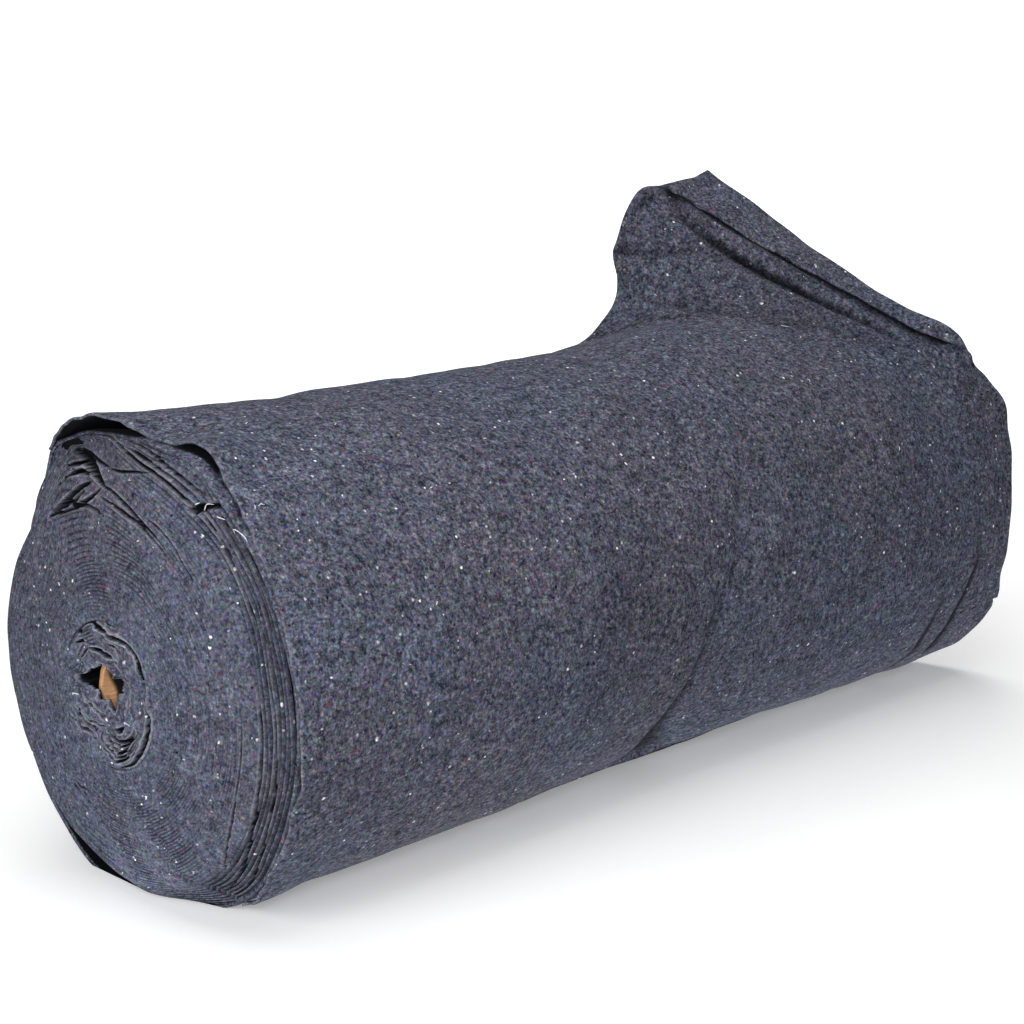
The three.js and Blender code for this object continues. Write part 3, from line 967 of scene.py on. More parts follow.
def makeBody():
    start = roll["lapStart"]
    angles = np.linspace(start, start + 360, woundBody["angleSteps"], endpoint=False)
    x, angle = np.meshgrid(spaced(woundBody["columns"]), angles)
    radius = bodyRadius(x, angle)
    x = x + rimAt(angle, "slant") * bell(fromNearEnd(x), woundBody["rimReach"]["slant"])
    grid = aroundRoll(x, radius, angle)
    grid = grid + gridNormals(grid) * uneven(grid, woundBody["uneven"])[..., None]
    nearX, nearRadius = grid[:, 0, 0], np.hypot(grid[:, 0, 1], grid[:, 0, 2]) - roll["felt"]
    (deep, deepDown), *rest = woundBody["nearGap"]
    rings = [aroundRoll(nearX + deep, woundRadiusAt(woundBody["deepAt"], angles) - deepDown, angles)]
    rings += [aroundRoll(nearX + inwards, nearRadius - down, angles) for inwards, down in rest]
    rings += list(grid.swapaxes(0, 1))
    rings += [aroundRoll(place, radius[:, -1] - down, angles) for place, down in woundBody["farGap"]]
    grid = np.stack(rings, axis=1)
    grid[..., 2] = np.maximum(grid[..., 2], -roll["axisHeight"])
    shade = np.zeros(grid.shape[:2])
    # painted shade: the rings in the gaps at both ends are painted black
    shade[:, (0, 1, -1)] = 1
    table, edge = woundBody["opening"], looseLap["nearSelvedge"]
    opening = column(edge, "angle", "lift", angles) - rimAt(angles, "lift")
    opening = opening * ramp(angles, *table["from"]) * (angles < table["to"])
    selvedge = column(edge, "angle", "x", angles)[:, None]
    # painted shadow on the surface under the loose turn's lifted edge
    shadow = ramp(opening[:, None], *table["height"]) * ramp(x - selvedge, *table["edge"])
    shade[:, 3:-2] = shadow * (x < table["x"])
    piece = meshPiece(woundBody["name"], grid, gridFaces(*grid.shape[:2], loop=True), feltFace, shade)
    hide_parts("wound_roll")
    print("wound turns: long surface")


nearEnd = {
    "name": "near_end_turns",
    "inner": 60.0,          # nominal radius of the first turn that it shows
    "steps": 420,
    # the mesh is finer over the turns that have buckled, and finest over those that are torn
    "fine": {"radius": (138, 202), "angle": (70, 140), "step": 0.4, "torn": 161},
    "stepped": (176, 184),  # from here outwards the turns stand apart like steps
    "spreadOut": (50, 62, 118, 130),
    # turns that lie smooth: where, and how much of the grooves and of the wandering they lose
    "smoothBand": {
        "radius": (154, 162, 177, 183),
        "angle": (-75, -55, 108, 122),
        "groove": 0.8,
        "wander": 0.5,
    },
    "slanted": (160, 203),
    "throat": {"seat": 32.6, "closes": 0, "dark": 0.9},
    # the paths of three turns over the buckle at the top, by their radius elsewhere; the rim is the fourth
    "paths": {
        "turns": (140, 158, 190),
        "angle": (50, 58, 66, 74, 83, 90, 95, 100, 104, 108, 112, 118, 121, 124, 126, 128.5, 132, 137,
                  143, 150),
        "first": (140, 140.3, 141, 142.5, 144.5, 147, 149, 152, 155, 156, 157, 158.5, 160, 161, 160, 154,
                  146, 139.5, 134.5, 132.1),
        "second": (158, 158, 158.3, 159, 161.5, 166.5, 172.5, 183, 189, 194.5, 200.7, 212, 207, 196, 186,
                   173, 165, 159, 152, 147.6),
        "third": (190, 190.8, 190.7, 190.5, 192, 196, 200, 205.5, 208, 210, 211.5, 215.5, 214, 207, 201,
                  194, 187, 181, 177.5, 176.4),
        "settled": 112.0,     # turns inside this one don't feel the buckle
    },
    # how the outer turns rise and sag with the rim, and between which angles the paths hold
    "rise": {
        "turns": (165, 203),
        "ends": (203, 218),
        "sag": 3.5,
        "sagAngle": 242,
        "sagSpread": 22,
        "routed": (44, 54, 143, 150),
        "buckle": (50, 60, 130, 148),
    },
    "cone": {
        "radius": (30, 47, 62, 90, 120, 150, 175, 190, 207),
        "out": (44, 45, 43, 40, 35, 28, 22, 12, 0),
    },
    "pits": {
        "radius": (168, 185, 208),
        "angle": (108, 40, 266),
        "spread": (22, 16, 28),
        "reach": (18, 14, 20),
        "depth": (7, 5, 6),
    },
    # turns that have come apart: lines of (angle, radius), how wide and how deep each opens
    "gaps": (
        ("over the buckle", ((118, 208), (112, 197), (107, 189), (102, 181), (98, 174), (95, 169)), 3.4, 22),
        ("over the buckle, tail", ((97, 171), (90, 165), (84, 160), (75, 155), (66, 153), (60, 152)), 1.4, 7),
        ("slit", ((119, 197), (114, 193), (110, 191)), 1.6, 12),
        ("slit", ((118, 186), (114, 186), (109, 184), (104, 179)), 1.9, 14),
        ("slit", ((127, 163), (121, 164), (115, 166), (109, 170), (103, 173)), 3.2, 22),
        ("slit", ((117, 161), (111, 162), (105, 168)), 1.6, 10),
        ("slit", ((114, 159), (107, 158), (101, 162), (97, 168)), 1.9, 12),
        ("under the buckle", ((125, 162), (118, 158), (111, 156), (104, 156), (98, 151), (94, 147)), 1.1, 5),
        ("left of the buckle", ((123, 202), (122, 192), (124, 182), (128, 170)), 1.0, 5),
        ("left of the buckle", ((120, 203), (119, 194), (121, 183), (125, 172)), 0.8, 4),
        ("sweep", ((97, 162), (91, 158), (84, 154), (78, 153), (68, 150), (58, 149)), 1.2, 5),
        ("sweep", ((73, 160), (68, 161), (60, 160), (54, 157), (46, 156)), 1.1, 5),
        ("fold", ((117, 209), (109, 197), (103, 189), (96, 182)), 1.0, 4),
        ("fold", ((97, 182), (90, 182), (83, 186), (79, 189)), 0.9, 4),
        ("strong", ((104, 209), (99, 206), (94, 200), (90, 196), (83, 192), (76, 190.5), (68, 190.5),
                    (60, 191), (52, 191), (46, 190), (40, 189), (34, 188), (28, 187)), 1.1, 10),
        ("band", ((88, 204), (78, 200), (71, 199), (64, 200), (58, 204)), 0.9, 5),
        ("band", ((90, 199), (78, 195), (70, 194.5), (62, 196)), 0.9, 5),
        ("tear", ((61, 189), (59, 193), (58.5, 198)), 3.6, 18),
        ("tear", ((58, 197), (57, 201), (55.5, 208)), 3.0, 16),
        ("frayed line", ((56, 203), (50, 200), (44, 199), (36, 198), (24, 198)), 1.0, 5),
        ("band", ((24, 192), (10, 190), (-3, 190), (-17, 191), (-38, 192), (-56, 196), (-70, 199)), 0.8, 6),
        ("band", ((10, 181), (-8, 180), (-24, 181), (-45, 185), (-63, 191)), 0.9, 6),
        ("band", ((5, 163), (-17, 162), (-29, 165), (-39, 170), (-52, 180)), 0.7, 4),
        ("bend", ((225, 105), (233, 115), (239, 116), (244, 110), (249, 115)), 1.1, 5),
    ),
}

farEnd = {
    "name": "far_end_turns",
    "inner": 33.0,
    "steps": 400,
    "fine": None,
    "stepped": (178, 190),
    "throat": {"seat": 32.6, "closes": 1, "dark": 0.6},
    "cone": {
        "radius": (30, 47, 62, 90, 120, 150, 175, 190, 207),
        "out": (40, 42, 42, 40, 35, 28, 22, 12, 0),
    },
    "pits": {"radius": (150,), "angle": (20,), "spread": (30,), "reach": (20,), "depth": (3,)},
    "gaps": (
        ("band", ((-20, 188), (10, 190), (40, 189), (80, 191)), 1.5, 6),
        ("band", ((150, 176), (180, 178), (210, 177), (240, 179)), 1.4, 6),
        ("band", ((60, 150), (90, 149), (130, 151), (160, 150)), 1.0, 3),
        ("hub", ((20, 56), (60, 54), (100, 57), (150, 55)), 1.6, 7),
        ("hub", ((190, 46), (230, 48), (270, 45), (310, 47)), 1.6, 7),
    ),
}


# a gap between turns, and the felt that curls up a little beside it
opening = {
    "margin": 12.0,           # how far beside a gap its edges are worked out
    "samples": 8,             # points of its path for each one in the table
    "ends": (0.03, 0.97),     # shares of its length between which it is open
    "least": 0.3,             # how wide it is where it closes
    "wall": 1.5,              # how steep its sides are, and how round its floor
    "floor": 0.8,
    "curl": 0.8,              # how far beside it the felt curls up, and how wide
    "fullCurl": 12.0,         # a gap this deep curls up fully
}


# how deep the gaps are at places (y, z) of an end, and how much the felt curls there
def gapDepth(gaps, places):
    total = np.zeros(places.shape[:-1])
    curl = np.zeros(places.shape[:-1])
    for _, line, width, depth in gaps:
        line = np.array(line, float)
        knots = np.arange(len(line))
        fine = smoothThrough(knots, line, np.linspace(0, len(line) - 1, opening["samples"] * len(line)))
        path = aroundRoll(0, fine[:, 1], fine[:, 0])[:, 1:]
        low, high = path.min(axis=0) - opening["margin"], path.max(axis=0) + opening["margin"]
        near = ((places > low) & (places < high)).all(axis=-1)
        offset, share = besideLine(places[near], path)
        taper = np.sin(math.pi * np.clip(share, *opening["ends"])) ** 0.5
        opened = width * taper + opening["least"]
        profile = np.clip(opening["wall"] * (1 - np.abs(offset) / opened), 0, 1) ** opening["floor"]
        total[near] = np.maximum(total[near], depth * taper * profile)
        # the curled felt beside a gap is painted lighter: partly paler fibre, partly a painted highlight
        lip = taper * bell(np.abs(offset) - opened - opening["curl"], opening["curl"])
        curl[near] = np.maximum(curl[near], lip * min(1, depth / opening["fullCurl"]))
    return total, curl * (total < 0.5)


turnEdges = {
    # places across a turn that the mesh has a row at
    "rows": {
        "plain": (0.0, 0.3, 0.75),
        "buckled": (0.0, 0.22, 0.5, 0.78),
        "torn": (0.0, 0.14, 0.28, 0.43, 0.57, 0.71, 0.86),
    },
    # each turn's edge wanders in and out, a little with its neighbours and a little alone
    "together": {"apart": 9, "uneven": ((0.5, 90, 31),)},
    "alone": {"apart": 34, "uneven": ((0.42, 60, 32),)},
    # grooves between the turns: least, in patches, on the stepped turns, and how much less of it where
    # the turns spread out
    "patches": ((1.6, 80, 33),),
    "patchesFrom": (60, 100),
    "grooveWidth": (0.13, 0.09),
    "grooveDepth": (0.35, 1.5, 1.5, 0.6),
    "grooveShade": (0.16, 0.5, 0.6, 0.5),
    "gapShade": (0.3, 2.0),
    "curlHeight": 0.8,
    # where the first turn shown runs back into the roll: share of the way to its seat, and how deep
    "throat": ((0.25, 4), (0.6, 11), (1.0, 24)),
}


# the rows of an end: more of them where the turns have buckled
def turnRows(end):
    turns = int((roll["lastTurn"] - end["inner"]) / roll["felt"])
    fine = end["fine"]
    rows = []
    for turn in range(turns):
        radius = roll["lastTurn"] - roll["felt"] * (turns - turn)
        kind = "plain"
        if fine and fine["radius"][0] < radius < fine["radius"][1]:
            kind = "torn" if radius < fine["torn"] else "buckled"
        rows += [(turn, share) for share in turnEdges["rows"][kind]]
    return turns, rows


# the angles of an end's mesh, once round from the lap's end
def roundTheEnd(end):
    start, fine = roll["lapEnd"], end["fine"]
    whole = np.linspace(start, start + 360, end["steps"], endpoint=False)
    if not fine:
        return whole
    low, high = (angle + 360 for angle in fine["angle"])
    plain = whole[(whole < low) | (whole >= high)]
    return np.sort(np.concatenate([plain, np.arange(low, high, fine["step"])]))


# how far out in the winding a turn is: 0 at the hub, 1 at the outside
def outwards(nominal):
    return ramp(nominal, roll["hubRadius"], roll["woundRadius"])


# the radius of a turn that the buckle doesn't move
def restingRadius(nominal, rim, angle):
    return nominal + (woundRadiusAt(rim, angle) - roll["woundRadius"]) * outwards(nominal)


# the radius of each turn, led over the buckle, and how much of the buckle there is
def overTheBuckle(end, nominal, rim, angle):
    paths, rise = end["paths"], end["rise"]
    resting = restingRadius(nominal, rim, angle)
    rimLift = rimAt(angle, "lift")
    sag = rise["sag"] * bell(angle - rise["sagAngle"], rise["sagSpread"])
    lifted = resting + (rimLift * (1 - ramp(angle, *rise["ends"])) - sag) * ramp(nominal, *rise["turns"])
    knots = [(float(at), column(paths, "angle", name, angle))
             for at, name in zip(paths["turns"], ("first", "second", "third"))]
    knots.append((roll["lastTurn"], woundRadiusAt(rim, angle) + rimLift - roll["rimInset"]))
    innermost, innerPath = knots[0]
    pushed = innerPath - restingRadius(np.array(innermost), rim, angle)
    routed = resting + pushed * ramp(nominal, paths["settled"], innermost)
    for (low, lowPath), (high, highPath) in zip(knots[:-1], knots[1:]):
        between = mix(lowPath, highPath, np.clip((nominal - low) / (high - low), 0, 1))
        routed = np.where(nominal >= low, between, routed)
    return mix(lifted, routed, plateau(angle, *rise["routed"])), plateau(angle, *rise["buckle"])


# the turns wind on: the last step of each row meets the first of the same place one turn out
def stitchTurns(rows, steps, offset, rim):
    place = {row: index + offset for index, row in enumerate(rows)}
    onward = []
    for turn, share in rows:
        choices = [other for other in rows if other[0] == turn + 1]
        nearest = min(choices, key=lambda other: abs(other[1] - share)) if choices else None
        onward.append(place[nearest] if nearest else rim)
    onward.append(rim)
    stitch = []
    for row in range(rim):
        here, there = row * steps + steps - 1, (row + 1) * steps + steps - 1
        first, second = row, row + 1
        if row >= offset:
            first, second = onward[row - offset], onward[row + 1 - offset]
        corners = [here, first * steps, second * steps, there]
        stitch.append(corners if first != second else [here, first * steps, there])
    return stitch


def makeEnd(end, side):
    near = side < 0
    turns, rows = turnRows(end)
    angles = roundTheEnd(end)
    steps = len(angles)
    turn, share = np.array(rows, float).T[..., None]
    lead = (angles - roll["lapEnd"])[None, :] / 360

    def windOn(count):
        wound = np.concatenate([count + lead, np.full((1, steps), float(turns))])
        return wound, np.minimum(roll["lastTurn"] - roll["felt"] * (turns - wound), roll["lastTurn"])

    wound, nominal = windOn(turn + share)
    middle = windOn(turn + 0.5)[1]
    angle = np.broadcast_to(angles, nominal.shape)
    wrapped = np.where(angle > roll["lapStart"] + 360, angle - 360, angle)

    ways = (turnEdges["together"], turnEdges["alone"])
    together, alone = (aroundRoll(wound * way["apart"], nominal, angle) for way in ways)
    wander = uneven(together, ways[0]["uneven"]) + uneven(alone, ways[1]["uneven"])
    patch = 0.5 + 0.5 * np.tanh(uneven(together[..., 1:], turnEdges["patches"]))
    stepped = ramp(nominal, *end["stepped"])
    spreadOut = plateau(wrapped, *end["spreadOut"]) if near else 0

    def grooved(least, patchy, onSteps, less):
        patches = patch * ramp(nominal, *turnEdges["patchesFrom"])
        return least + patchy * patches + onSteps * stepped * (1 - less * spreadOut)

    acrossTurn = np.concatenate([share, [[0.5]]]) + 0 * wound
    wide, wider = turnEdges["grooveWidth"]
    groove = bell(np.minimum(acrossTurn, 1 - acrossTurn), wide + wider * stepped * (1 - spreadOut))
    grooveDepth = groove * grooved(*turnEdges["grooveDepth"])

    rim = side * roll["halfWidth"]
    radius, buckle = restingRadius(nominal, rim, wrapped), 0
    if near:
        radius, buckle = overTheBuckle(end, nominal, rim, wrapped)
        band = end["smoothBand"]
        smooth = plateau(nominal, *band["radius"]) * plateau(wrapped, *band["angle"])
        groove = groove * (1 - band["groove"] * smooth)
        wander = wander * (1 - band["wander"] * smooth)
    cone = end["cone"]
    inReach = np.clip(radius, cone["radius"][0], cone["radius"][-1])
    out = column(cone, "radius", "out", mix(mix(nominal, middle, stepped), inReach, buckle))
    if near:
        out = out - rimAt(wrapped, "slant") * ramp(nominal, *end["slanted"])
    pit = 0
    for at, toAngle, spread, reach, depth in zip(*end["pits"].values()):
        turnAngle = angle if toAngle > 180 else wrapped
        pit = pit + depth * bell(turnAngle - toAngle, spread) * bell(nominal - at, reach)
    cuts, lip = gapDepth(end["gaps"], aroundRoll(0, radius, wrapped)[..., 1:])
    # painted shade in the gaps and in the grooves between turns
    shade = np.maximum(ramp(cuts, *turnEdges["gapShade"]), groove * grooved(*turnEdges["grooveShade"]))
    relief = turnEdges["curlHeight"] * lip - pit - wander - grooveDepth - cuts
    grid = aroundRoll(side * (roll["halfWidth"] + relief) - out, radius, angle)
    grid[..., 1:] += np.array(roll["hubShift"]) * (1 - outwards(nominal))[..., None]
    grid[..., 2] = np.maximum(grid[..., 2], -roll["axisHeight"])

    # the first turn shown runs back into the roll
    mouth, throat = grid[0], end["throat"]
    seat = aroundRoll(0, throat["seat"], angle[0]) + (0, *roll["hubShift"])
    rings = []
    for share, deep in turnEdges["throat"]:
        ring = mix(mouth, seat, share * throat["closes"])
        ring[:, 0] = mouth[:, 0] - side * deep
        rings.insert(0, ring)
    grid = np.concatenate([rings, grid])
    hidden = np.ones((len(rings), steps))
    # the throat is painted in shade
    shade = np.concatenate([hidden * throat["dark"], np.clip(shade, 0, 1)])
    lip = np.concatenate([0 * hidden, lip])
    faces = gridFaces(grid.shape[0], steps).tolist() + stitchTurns(rows, steps, len(rings), grid.shape[0] - 1)
    if near:
        faces = [corners[::-1] for corners in faces]
    piece = meshPiece(end["name"], grid, faces, feltEdge, shade, lip)
    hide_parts("wound_roll")
    print(end["name"], len(faces) * 2, "triangles")


# The first turns at the near end, crumpled round the tube's mouth. Its plan is drawn in the end's own
# plane from the tube's axis: to the front, and up.
hub = {
    "name": "hub_turns",
    "steps": 420,
    "rows": 104,
    "out": 46.5,
    "reach": 66.0,
    "heart": (-3.5, 12.5),
    "ragged": {"radius": 30, "uneven": ((0.7, 9, 51), (0.5, 4, 52))},
    "uneven": ((1.1, 34, 53), (0.7, 13, 54)),
    # thin edges of turns nested in it: how many, how they wander and wear, and how wide and deep they are and
    # how dark their painted shade is
    "nested": {
        "count": 10,
        "wander": ((0.5, 40, 55),),
        "worn": ((1.0, 38, 56),),
        "least": 0.3,
        "wide": 0.16,
        "deep": 1.7,
        "dark": 0.6,
    },
    "plateEdge": (-1.0, 1.4),
    "gapShade": (0.02, 0.7),
    "curlHeight": 0.9,
    # the mouth's frayed edge is painted lighter, partly paler fibre and partly a painted highlight: how
    # strong and how wide
    "frayAndHighlight": {"dark": 0.7, "wide": 1.2},
    "rounding": {"deep": 1.6, "wide": 1.1},
    # it comes down to the turns round it between these radii, and then dives under their first edge
    "settles": (58, 62),
    "belowTurns": 0.4,
    "dives": (63.0, 65.5),
    "diveDepth": 5,
    # behind its lip: how far in, share of the way out to the hollow's wall, and how dark its painted shade is
    "hollow": 37.0,
    "leastWall": 1.5,
    "walls": ((44, 1.0, 1.0), (9, 1.0, 1.0), (4.5, 0.4, 0.9), (2.2, 0.03, 0.15)),
    # the edge of the mouth, seen from its heart
    "mouth": {
        "angle": (-180, -176, -167, -163, -158, -150, -134, -111, -80, -62, -57, -49, -30, -17, -3, 18,
                  22, 42, 90, 107, 142, 172, 180),
        "away": (31, 40, 39, 31, 22, 14, 13, 17.5, 16, 19, 26.5, 26.7, 24, 22.8, 25.4, 27.5, 15, 12.4,
                 11.9, 15.3, 16.2, 24, 31),
    },
    "plates": (
        # felt that stands out or is pushed in: its outline (to the front, up), and how far out it comes
        ("first turn", ((-46, 35), (-30, 42), (-5, 37), (12, 36), (22, 33), (28, 19), (33, 3), (37, -8),
                        (42, -14), (38, -22), (23, -35), (8, -46), (-6, -36), (-22, -30), (-42, -20),
                        (-46, 5)), -2.5),
        ("tucked lump", ((-42, 8), (-18, 11), (-4, 5), (11, 2), (13, -10), (5, -22), (-16, -14), (-32, -8),
                         (-40, 2)), 3.0),
        ("inner fold", ((16, 8), (21, 8), (31, 8), (33, -6), (24, -26), (12, -24), (15, -8)), 2.0),
        ("top fold", ((-34, 27), (-16, 33), (2, 34), (20, 30), (26, 24), (14, 23), (0, 31), (-12, 29),
                      (-26, 20)), 1.5),
    ),
    "gaps": (
        ("over the turns", ((128, 63), (120, 64), (113, 64.6), (107, 64), (99, 60), (90, 58), (79, 57),
                            (70, 58), (63, 59), (57, 60), (49, 61), (42, 61), (33, 60), (27, 60)), 1.5, 14),
        ("right", ((8, 57), (-4, 59), (-20, 59), (-35, 59), (-50, 59), (-60, 60), (-74, 60)), 1.3, 14),
        ("left, low", ((205, 59), (214, 56), (223, 52), (232, 46), (248, 43)), 1.4, 12),
        ("big fold", ((136, 56), (127, 53), (121, 49), (116, 44), (111, 41), (98, 38), (86, 37), (63, 40),
                      (52, 38.5), (42, 35.5)), 2.2, 18),
        ("eye", ((130, 62), (126, 61.5), (122, 59), (118, 56)), 1.3, 10),
        ("first turn", ((42, 35), (29, 34.6), (10, 34), (-4, 34), (-15, 40), (-28, 44), (-56, 42)), 1.0, 10),
        ("under the lump", ((176, 39), (184, 38), (194, 34.6), (204, 28), (213, 22), (250, 22),
                            (281, 24)), 1.7, 14),
        ("in the lump", ((203, 26), (226, 19), (278, 16)), 0.8, 7),
        ("pocket", ((-78, 28), (-64, 30), (-42, 31)), 2.0, 14),
        ("nested", ((-86, 33), (-73, 37), (-60, 40), (-48, 41), (-33, 41), (-18, 40)), 0.9, 10),
        ("nested", ((-104, 33), (-92, 37), (-79, 43), (-70, 48), (-60, 47), (-42, 46), (-24, 48)), 1.1, 12),
        ("nested", ((-118, 36), (-102, 42), (-89, 48), (-78, 54), (-66, 54), (-50, 52), (-36, 52)), 0.9, 10),
        ("nested", ((-96, 31), (-84, 35), (-74, 39.5), (-64, 43), (-50, 44), (-36, 44), (-24, 44)), 0.7, 8),
        ("nested", ((-111, 34), (-97, 39.5), (-84, 45.5), (-74, 51), (-63, 51), (-46, 49),
                    (-30, 50)), 0.7, 8),
        ("nested, left", ((-166, 54), (-152, 49), (-138, 43), (-124, 40)), 0.8, 8),
        ("nested, left", ((-150, 41), (-138, 37), (-122, 33), (-106, 29)), 1.0, 10),
        ("nested, left", ((-158, 48), (-144, 44), (-130, 39), (-116, 37)), 0.8, 8),
        ("top, thin", ((86, 49), (73, 51), (66, 50.8), (61, 48)), 0.9, 8),
        ("top, thin", ((98, 66), (86, 64), (76, 65), (66, 66)), 0.6, 5),
        ("left, thin", ((149, 49), (141, 50.4), (134, 50.8)), 0.9, 8),
        ("left, thin", ((145, 43), (135, 44.4), (125, 45.5)), 1.0, 8),
        ("left, thin", ((170, 58), (180, 56), (190, 57)), 0.6, 5),
    ),
}


def insideOutline(places, outline):
    outline = np.array(outline, float)
    after = np.roll(outline, -1, axis=0)
    inside = np.zeros(places.shape[:-1], bool)
    for start, end in zip(outline, after):
        crosses = (start[1] > places[..., 1]) != (end[1] > places[..., 1])
        at = start[0] + (places[..., 1] - start[1]) * (end[0] - start[0]) / (end[1] - start[1] + 1e-9)
        inside ^= crosses & (places[..., 0] < at)
    distance = np.abs(besideLine(places, np.concatenate([outline, outline[:1]]))[0])
    return np.where(inside, distance, -distance)


def makeHub():
    steps, nested = hub["steps"], hub["nested"]
    turn = np.radians(np.linspace(-180, 180, steps, endpoint=False))
    way = np.stack([np.cos(turn), np.sin(turn)], axis=-1)
    heart = np.array(hub["heart"])
    toHeart = way @ heart

    # from the heart to a circle round the tube's axis
    def toCircle(radius):
        return -toHeart + np.sqrt(toHeart**2 + radius**2 - heart @ heart)

    def onPlan(away):
        return heart + way[:, None, :] * away[..., None]

    ragged = uneven(way * hub["ragged"]["radius"], hub["ragged"]["uneven"])
    mouthAway = np.interp(np.degrees(turn), hub["mouth"]["angle"], hub["mouth"]["away"]) + ragged
    rimAway = toCircle(hub["reach"])
    away = mix(mouthAway[:, None], rimAway[:, None], np.linspace(0, 1, hub["rows"])[None, :])
    fromMouth = away - mouthAway[:, None]
    plan = onPlan(away)
    places = plan * (-1, 1)
    radius = np.linalg.norm(places, axis=-1)

    out = np.full(radius.shape, hub["out"]) + uneven(plan, hub["uneven"])
    for _, outline, rise in hub["plates"]:
        out += rise * ramp(insideOutline(plan, outline), *hub["plateEdge"])
    fold = (rimAway[:, None] - away) / np.maximum(rimAway - mouthAway, 1)[:, None] * nested["count"]
    fold = fold + uneven(plan, nested["wander"])
    worn = np.clip(nested["least"] + uneven(plan, nested["worn"]), 0, 1)
    groove = worn * bell(np.mod(fold + 0.5, 1) - 0.5, nested["wide"])
    cuts, lip = gapDepth(hub["gaps"], places)
    out += hub["curlHeight"] * lip - cuts - groove * nested["deep"]
    # painted shade in the gaps and the nested grooves
    shade = np.clip(np.maximum(ramp(cuts, *hub["gapShade"]), groove * nested["dark"]), 0, 1)
    frayAndHighlight, rounding = hub["frayAndHighlight"], hub["rounding"]
    # the mouth's edge is painted lighter: paler fibre and a painted highlight
    lip = np.maximum(lip, frayAndHighlight["dark"] * bell(fromMouth - frayAndHighlight["wide"], frayAndHighlight["wide"]))
    around = column(nearEnd["cone"], "radius", "out", radius) - hub["belowTurns"]
    out = mix(out, around, ramp(radius, *hub["settles"]))
    out -= hub["diveDepth"] * ramp(radius, *hub["dives"])
    out -= rounding["deep"] * bell(fromMouth, rounding["wide"])
    x = -roll["halfWidth"] - out
    grid = np.concatenate([x[..., None], places + roll["hubShift"]], axis=-1)

    # behind its lip the felt is hollow, back to the tube
    depths, shares, darks = np.array(hub["walls"]).T
    backAway = np.maximum(toCircle(hub["hollow"]), mouthAway + hub["leastWall"])
    wallAway = mix(mouthAway[:, None], backAway[:, None], shares)
    wallX = x[:, :1] + depths
    walls = np.concatenate([wallX[..., None], onPlan(wallAway) * (-1, 1) + roll["hubShift"]], axis=-1)
    grid = np.concatenate([walls, grid], axis=1)
    shade = np.concatenate([np.tile(darks, (steps, 1)), shade], axis=1)
    lip = np.concatenate([0 * wallAway, lip], axis=1)
    faces = gridFaces(*grid.shape[:2], loop=True)
    piece = meshPiece(hub["name"], grid, faces, feltEdge, shade, lip)
    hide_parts("wound_roll")
    print("crumpled hub:", steps, "by", grid.shape[1])


tube = {
    "name": "cardboard_tube",
    "inner": 27.0,
    "outer": 32.0,
    "start": -531.0,
    "seam": 62.0,     # one turn of the spiral seam, along the tube
    "steps": 96,
    # its rounded ends: places in from the end, and how much is taken off there
    "ends": (0.0, 0.4, 1.2),
    "rounding": (0.9, 0.35, 0.0),
    "seamGroove": (0.35, 1.2),     # deep and wide
    "worn": ((0.35, 18, 41),),     # its ends are worn, as far in as wornReach
    "wornReach": 5.0,
    "wornRadius": 30.0,
    # the mesh along it: finer near the mouth; start, end and step
    "nearRings": (3, 24, 1.5),
    "farRings": (26, 5, 8.0),      # the end is counted from the far end
    # how far the light comes in along its wall
    "lit": {
        "angle": (0, 120, 134, 153, 175, 187, 198, 211, 222, 240, 260, 360),
        "depth": (4, 1, 0, 4, 9, 12, 13, 11, 8, 6, 4, 4),
    },
    "litEdge": (-1.5, 3.0),
    "openEnd": 400.0,      # past here the light comes in from the other end
}


def makeTube():
    start = tube["start"]
    length = tubeHigh.x / millimetre - start
    ends = np.array(tube["ends"])
    first, left, step = tube["farRings"]
    xs = np.concatenate([ends, np.arange(*tube["nearRings"]), np.arange(first, length - left, step),
                         length - ends[::-1]])
    rounding = np.zeros(len(xs))
    rounding[:3] = tube["rounding"]
    rounding[-3:] = tube["rounding"][::-1]
    angles = np.linspace(0, 360, tube["steps"], endpoint=False)
    x, angle = np.meshgrid(xs, angles)
    phase = np.mod(x / tube["seam"] + angle / 360, 1)
    deep, wide = tube["seamGroove"]
    sunk = rounding + deep * bell(np.minimum(phase, 1 - phase) * tube["seam"], wide)
    rough = uneven(aroundRoll(x, tube["wornRadius"], angle), tube["worn"])
    worn = x + start + rough * bell(np.minimum(x, length - x), tube["wornReach"])
    outside = aroundRoll(worn, tube["outer"] - sunk, angle)
    inside = aroundRoll(worn, tube["inner"] + sunk, angle)
    grid = np.concatenate([outside, inside[:, ::-1]], axis=1) + (0, *roll["hubShift"])
    faces = gridFaces(*grid.shape[:2], loop=True, closed=True)
    reach = np.interp(angles, tube["lit"]["angle"], tube["lit"]["depth"])[:, None]
    # painted shadow: past the reach of the light the inner wall is painted dark
    dark = ramp(x - reach, *tube["litEdge"])
    shade = np.concatenate([0 * dark, dark[:, ::-1]], axis=1) * (grid[..., 0] < tube["openEnd"])
    piece = meshPiece(tube["name"], grid, faces, brownBoard, shade)
    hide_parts("core_tube")
    print("tube:", grid.shape[1], "by", tube["steps"])


